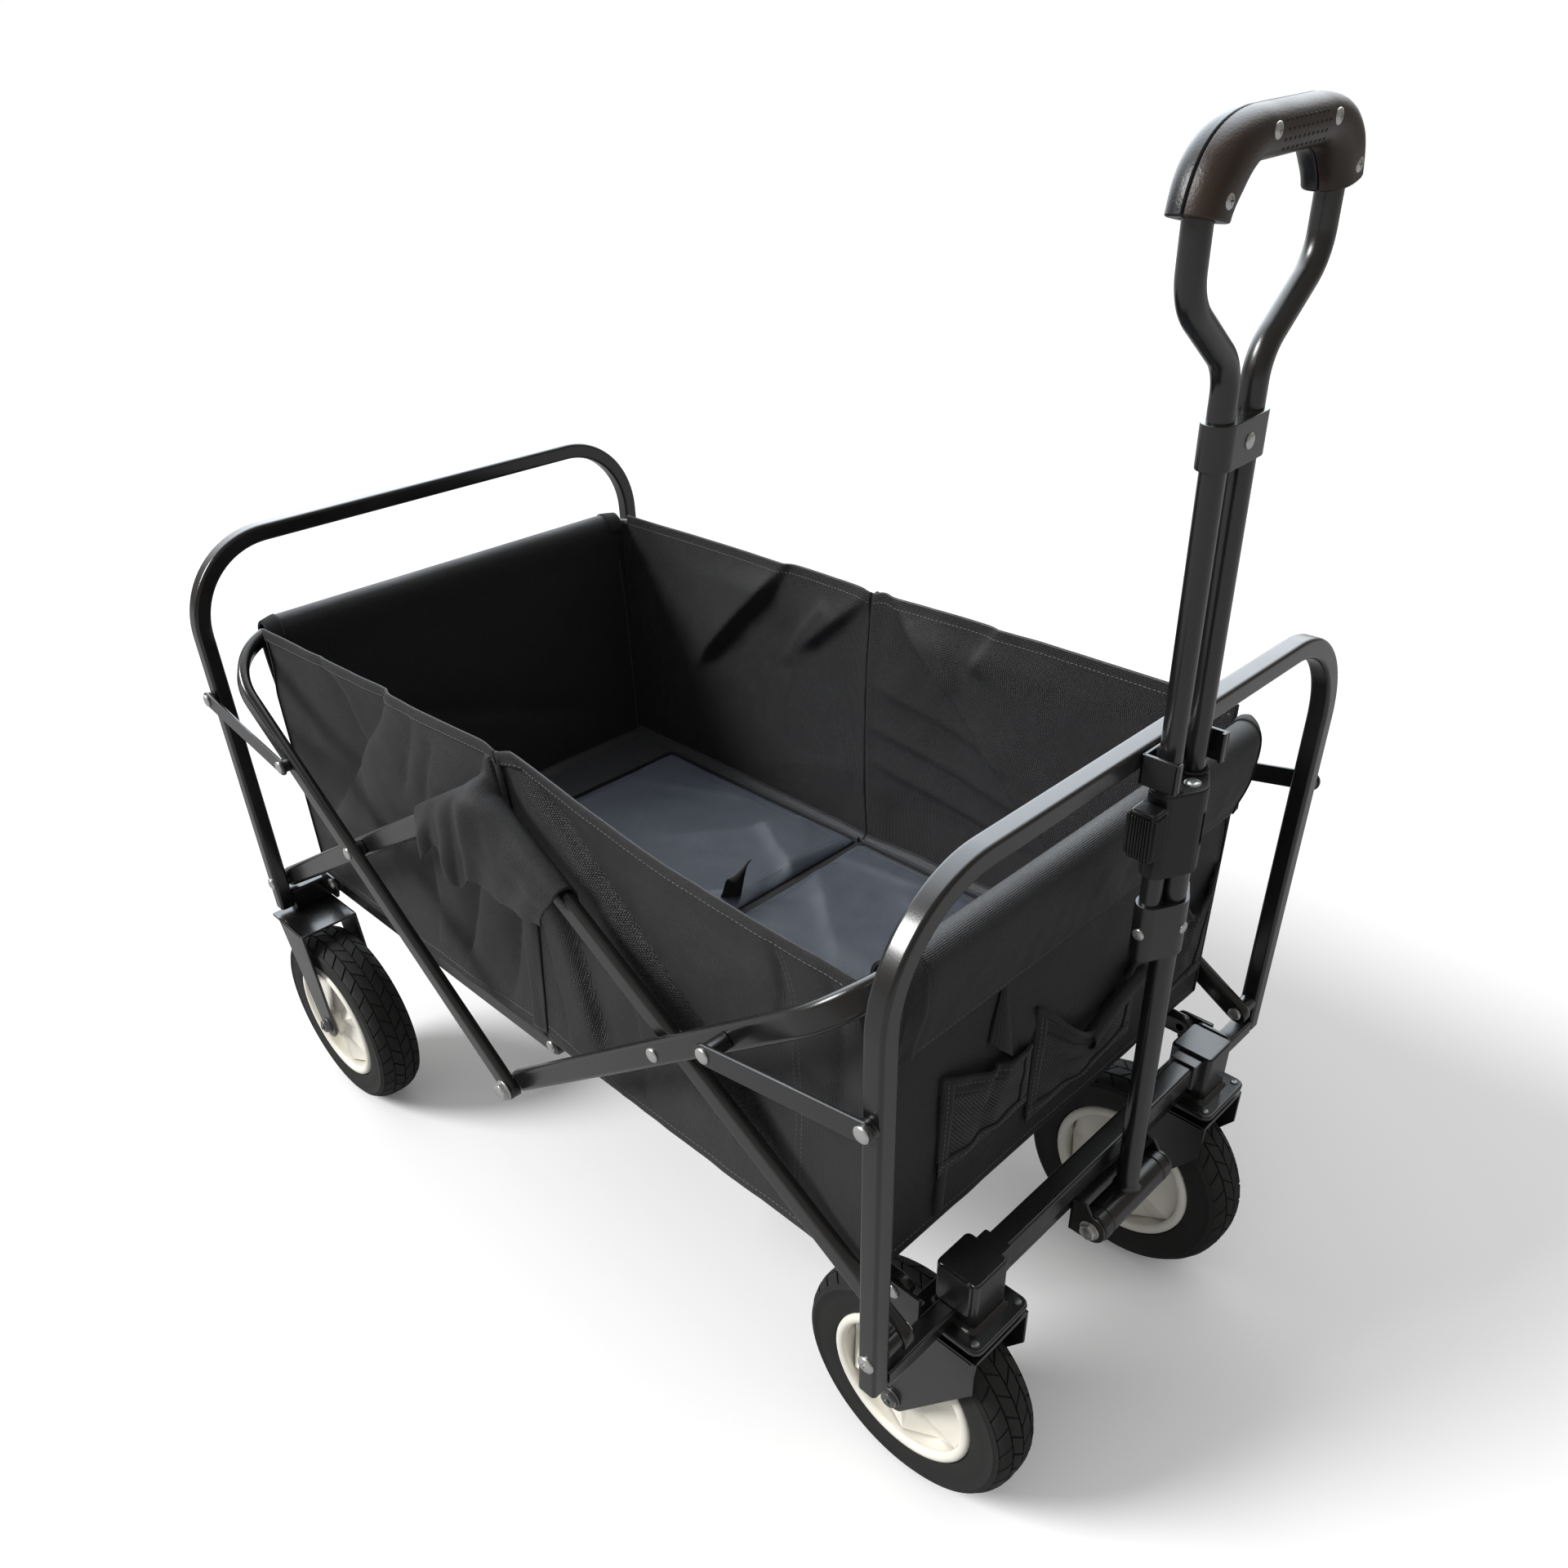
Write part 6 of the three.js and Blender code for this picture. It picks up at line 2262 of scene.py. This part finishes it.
def makeTab():
    top = floorMat["matTop"]
    (ax, ay), (bx, by) = tab["foot"], tab["peak"]
    ahead = Vector((bx - ax, by - ay, 0)).normalized()
    across = Vector((-ahead.y, ahead.x, 0))
    line = smoothed([
        (ax, ay, top), (ax + 0.010, ay - 0.010, top + 0.0012),
        (ax + 0.013, ay - 0.013, top + 0.012),
        (bx - 0.003, by + 0.003, top + tab["high"] * 0.8), (bx, by, top + tab["high"]),
    ])
    size = (tab["wide"], lengthsAlong(line)[-1])

    def at(u, v):
        k = v * (len(line) - 1)
        j = min(int(k), len(line) - 2)
        p = line[j].lerp(line[j + 1], k - j)
        slant = tab["slant"] * ease((v - 0.6) / 0.4) * (u - 0.5)
        curl = tab["curl"] * cos(pi * u) * v
        aside = (u - 0.5) * tab["wide"] * (1 - 0.25 * v) + tab["lean"] * v * v
        return p + across * aside + alongZ * slant + ahead * curl

    strap = makeSheet("liftTab", at, (12, 60), size, trimCloth, tab["thick"])
    low, high = (0.12, 0.04), (0.88, 0.16)
    lines = [
        seamLine(at, start, stop, 0.0009 * s, 12)
        for start, stop in (
            (low, (low[0], high[1])), ((high[0], low[1]), high), ((low[0], high[1]), high)
        )
        for s in sides
    ]
    thread = stitched("liftTabStitches", lines, 0.0034)
    settleCloth("rear_floor", strap, thread)


for end in ends:
    makeFloorBase(end)
    makeMat(end)
makeSeamStrips()
makeTab()
print("floor made")


# Floor, light and camera
studio = {
    "floorHalf": 9.0,
    "floorSeen": 0.94,
    "floorLit": 0.36,  # the floor throws less light back at the wagon than it shows
    "floorGlow": 0.03,
    "sky": (0.28, 0.88),  # its strength from the side it is darkest to its brightest side
    "skySide": (-0.30, -0.05, 0.95),
    "gloss": (0.22, 4.2),
    "windowSide": (-0.58, 0.52, 0.63),
    "windowEdge": 0.5,
    "warm": (1.0, 0.90, 0.76),
    "cool": (0.84, 0.92, 1.0),
    "sunFrom": (-0.56, -0.72, 0.66),
    "sunPower": 3.1,
    "sunSpread": 22,
}
view = {
    "lens": 28.43,
    "shift": (0.0079, 0.0700),
    "place": (0.7153, -0.6270, 0.9476),
    "azimuth": 46.35,
    "elevation": 34.2,
    "roll": -2.19,
}


def makeStage():
    bm = bmesh.new()
    half = studio["floorHalf"]
    corners = ((-half, -half), (half, -half), (half, half), (-half, half))
    bm.faces.new([bm.verts.new((x, y, 0)) for x, y in corners])
    finish = Finish("studioFloor", "ffffff", 0.95, Specular_IOR_Level=0.0)
    seen = finish.node("ShaderNodeLightPath").outputs["Is Camera Ray"]
    grey = finish.remap(seen, studio["floorLit"], studio["floorSeen"], 0.0, 1.0)
    glow = finish.remap(seen, 0.0, studio["floorGlow"], 0.0, 1.0)
    wire(finish.tree, grey, finish.shader["Base Color"])
    wire(finish.tree, glow, finish.shader["Emission Strength"])
    wire(finish.tree, (1, 1, 1, 1), finish.shader["Emission Color"])
    objectOf("studioFloor", bm, finish.material)


# Light that grows towards one side of the sky
def skyGlow(tree, side, strengths, start):
    where = addNode(tree, "ShaderNodeTexCoord").outputs["Generated"]
    towards = Vector(side).normalized()
    dot = addNode(tree, "ShaderNodeVectorMath", where, towards, operation="DOT_PRODUCT")
    toward = dot.outputs["Value"]
    ramp = addNode(
        tree, "ShaderNodeMapRange", toward, start, 1.0, *strengths,
        interpolation_type="SMOOTHSTEP",
    )
    strength = ramp.outputs["Result"]
    glow = addNode(tree, "ShaderNodeBackground", Color=(1, 1, 1, 1), Strength=strength)
    return glow, toward


def makeWorld():
    world = bpy.data.worlds.new("studio")
    world.use_nodes = True
    tree = world.node_tree
    white = tree.nodes["Background"]
    white.inputs["Color"].default_value = (1, 1, 1, 1)
    white.inputs["Strength"].default_value = 1.0
    sky, _ = skyGlow(tree, studio["skySide"], studio["sky"], -0.2)
    window, toward = skyGlow(tree, studio["windowSide"], studio["gloss"], studio["windowEdge"])
    tone = addNode(tree, "ShaderNodeMix", toward, data_type="RGBA")
    tone.inputs[6].default_value = (*studio["warm"], 1)
    tone.inputs[7].default_value = (*studio["cool"], 1)
    wire(tree, tone.outputs[2], window.inputs["Color"])
    seen = addNode(tree, "ShaderNodeLightPath").outputs
    last = sky
    for ray, light in (("Is Glossy Ray", window), ("Is Camera Ray", white)):
        shaders = last.outputs[0], light.outputs[0]
        last = addNode(tree, "ShaderNodeMixShader", seen[ray], *shaders)
    wire(tree, last.outputs[0], tree.nodes["World Output"].inputs["Surface"])
    scene.world = world


def placed(name, data, location, turn):
    obj = bpy.data.objects.new(name, data)
    obj.location = location
    obj.rotation_mode = "QUATERNION"
    obj.rotation_quaternion = turn
    scene.collection.objects.link(obj)
    return obj


def makeSun():
    lamp = bpy.data.lights.new("sun", "SUN")
    lamp.energy, lamp.angle = studio["sunPower"], radians(studio["sunSpread"])
    place = Vector(studio["sunFrom"])
    placed("sun", lamp, place * 3, (-place).to_track_quat("-Z", "Y"))


def makeCamera():
    camera = bpy.data.cameras.new("view")
    camera.lens, camera.sensor_width = view["lens"], 36
    camera.shift_x, camera.shift_y = view["shift"]
    camera.clip_start, camera.clip_end = 0.02, 50
    azimuth, elevation, roll = (radians(view[a]) for a in ("azimuth", "elevation", "roll"))
    forward = Vector((-sin(azimuth), cos(azimuth), 0)) * cos(elevation)
    forward.z = -sin(elevation)
    turn = Matrix.Rotation(roll, 3, "Z").to_quaternion()
    scene.camera = placed(
        "view", camera, view["place"], forward.to_track_quat("-Z", "Y") @ turn
    )


makeStage()
makeWorld()
makeSun()
makeCamera()
scene.view_settings.view_transform = "Standard"
print("stage made")

for part in patterns:
    removeObject(part)
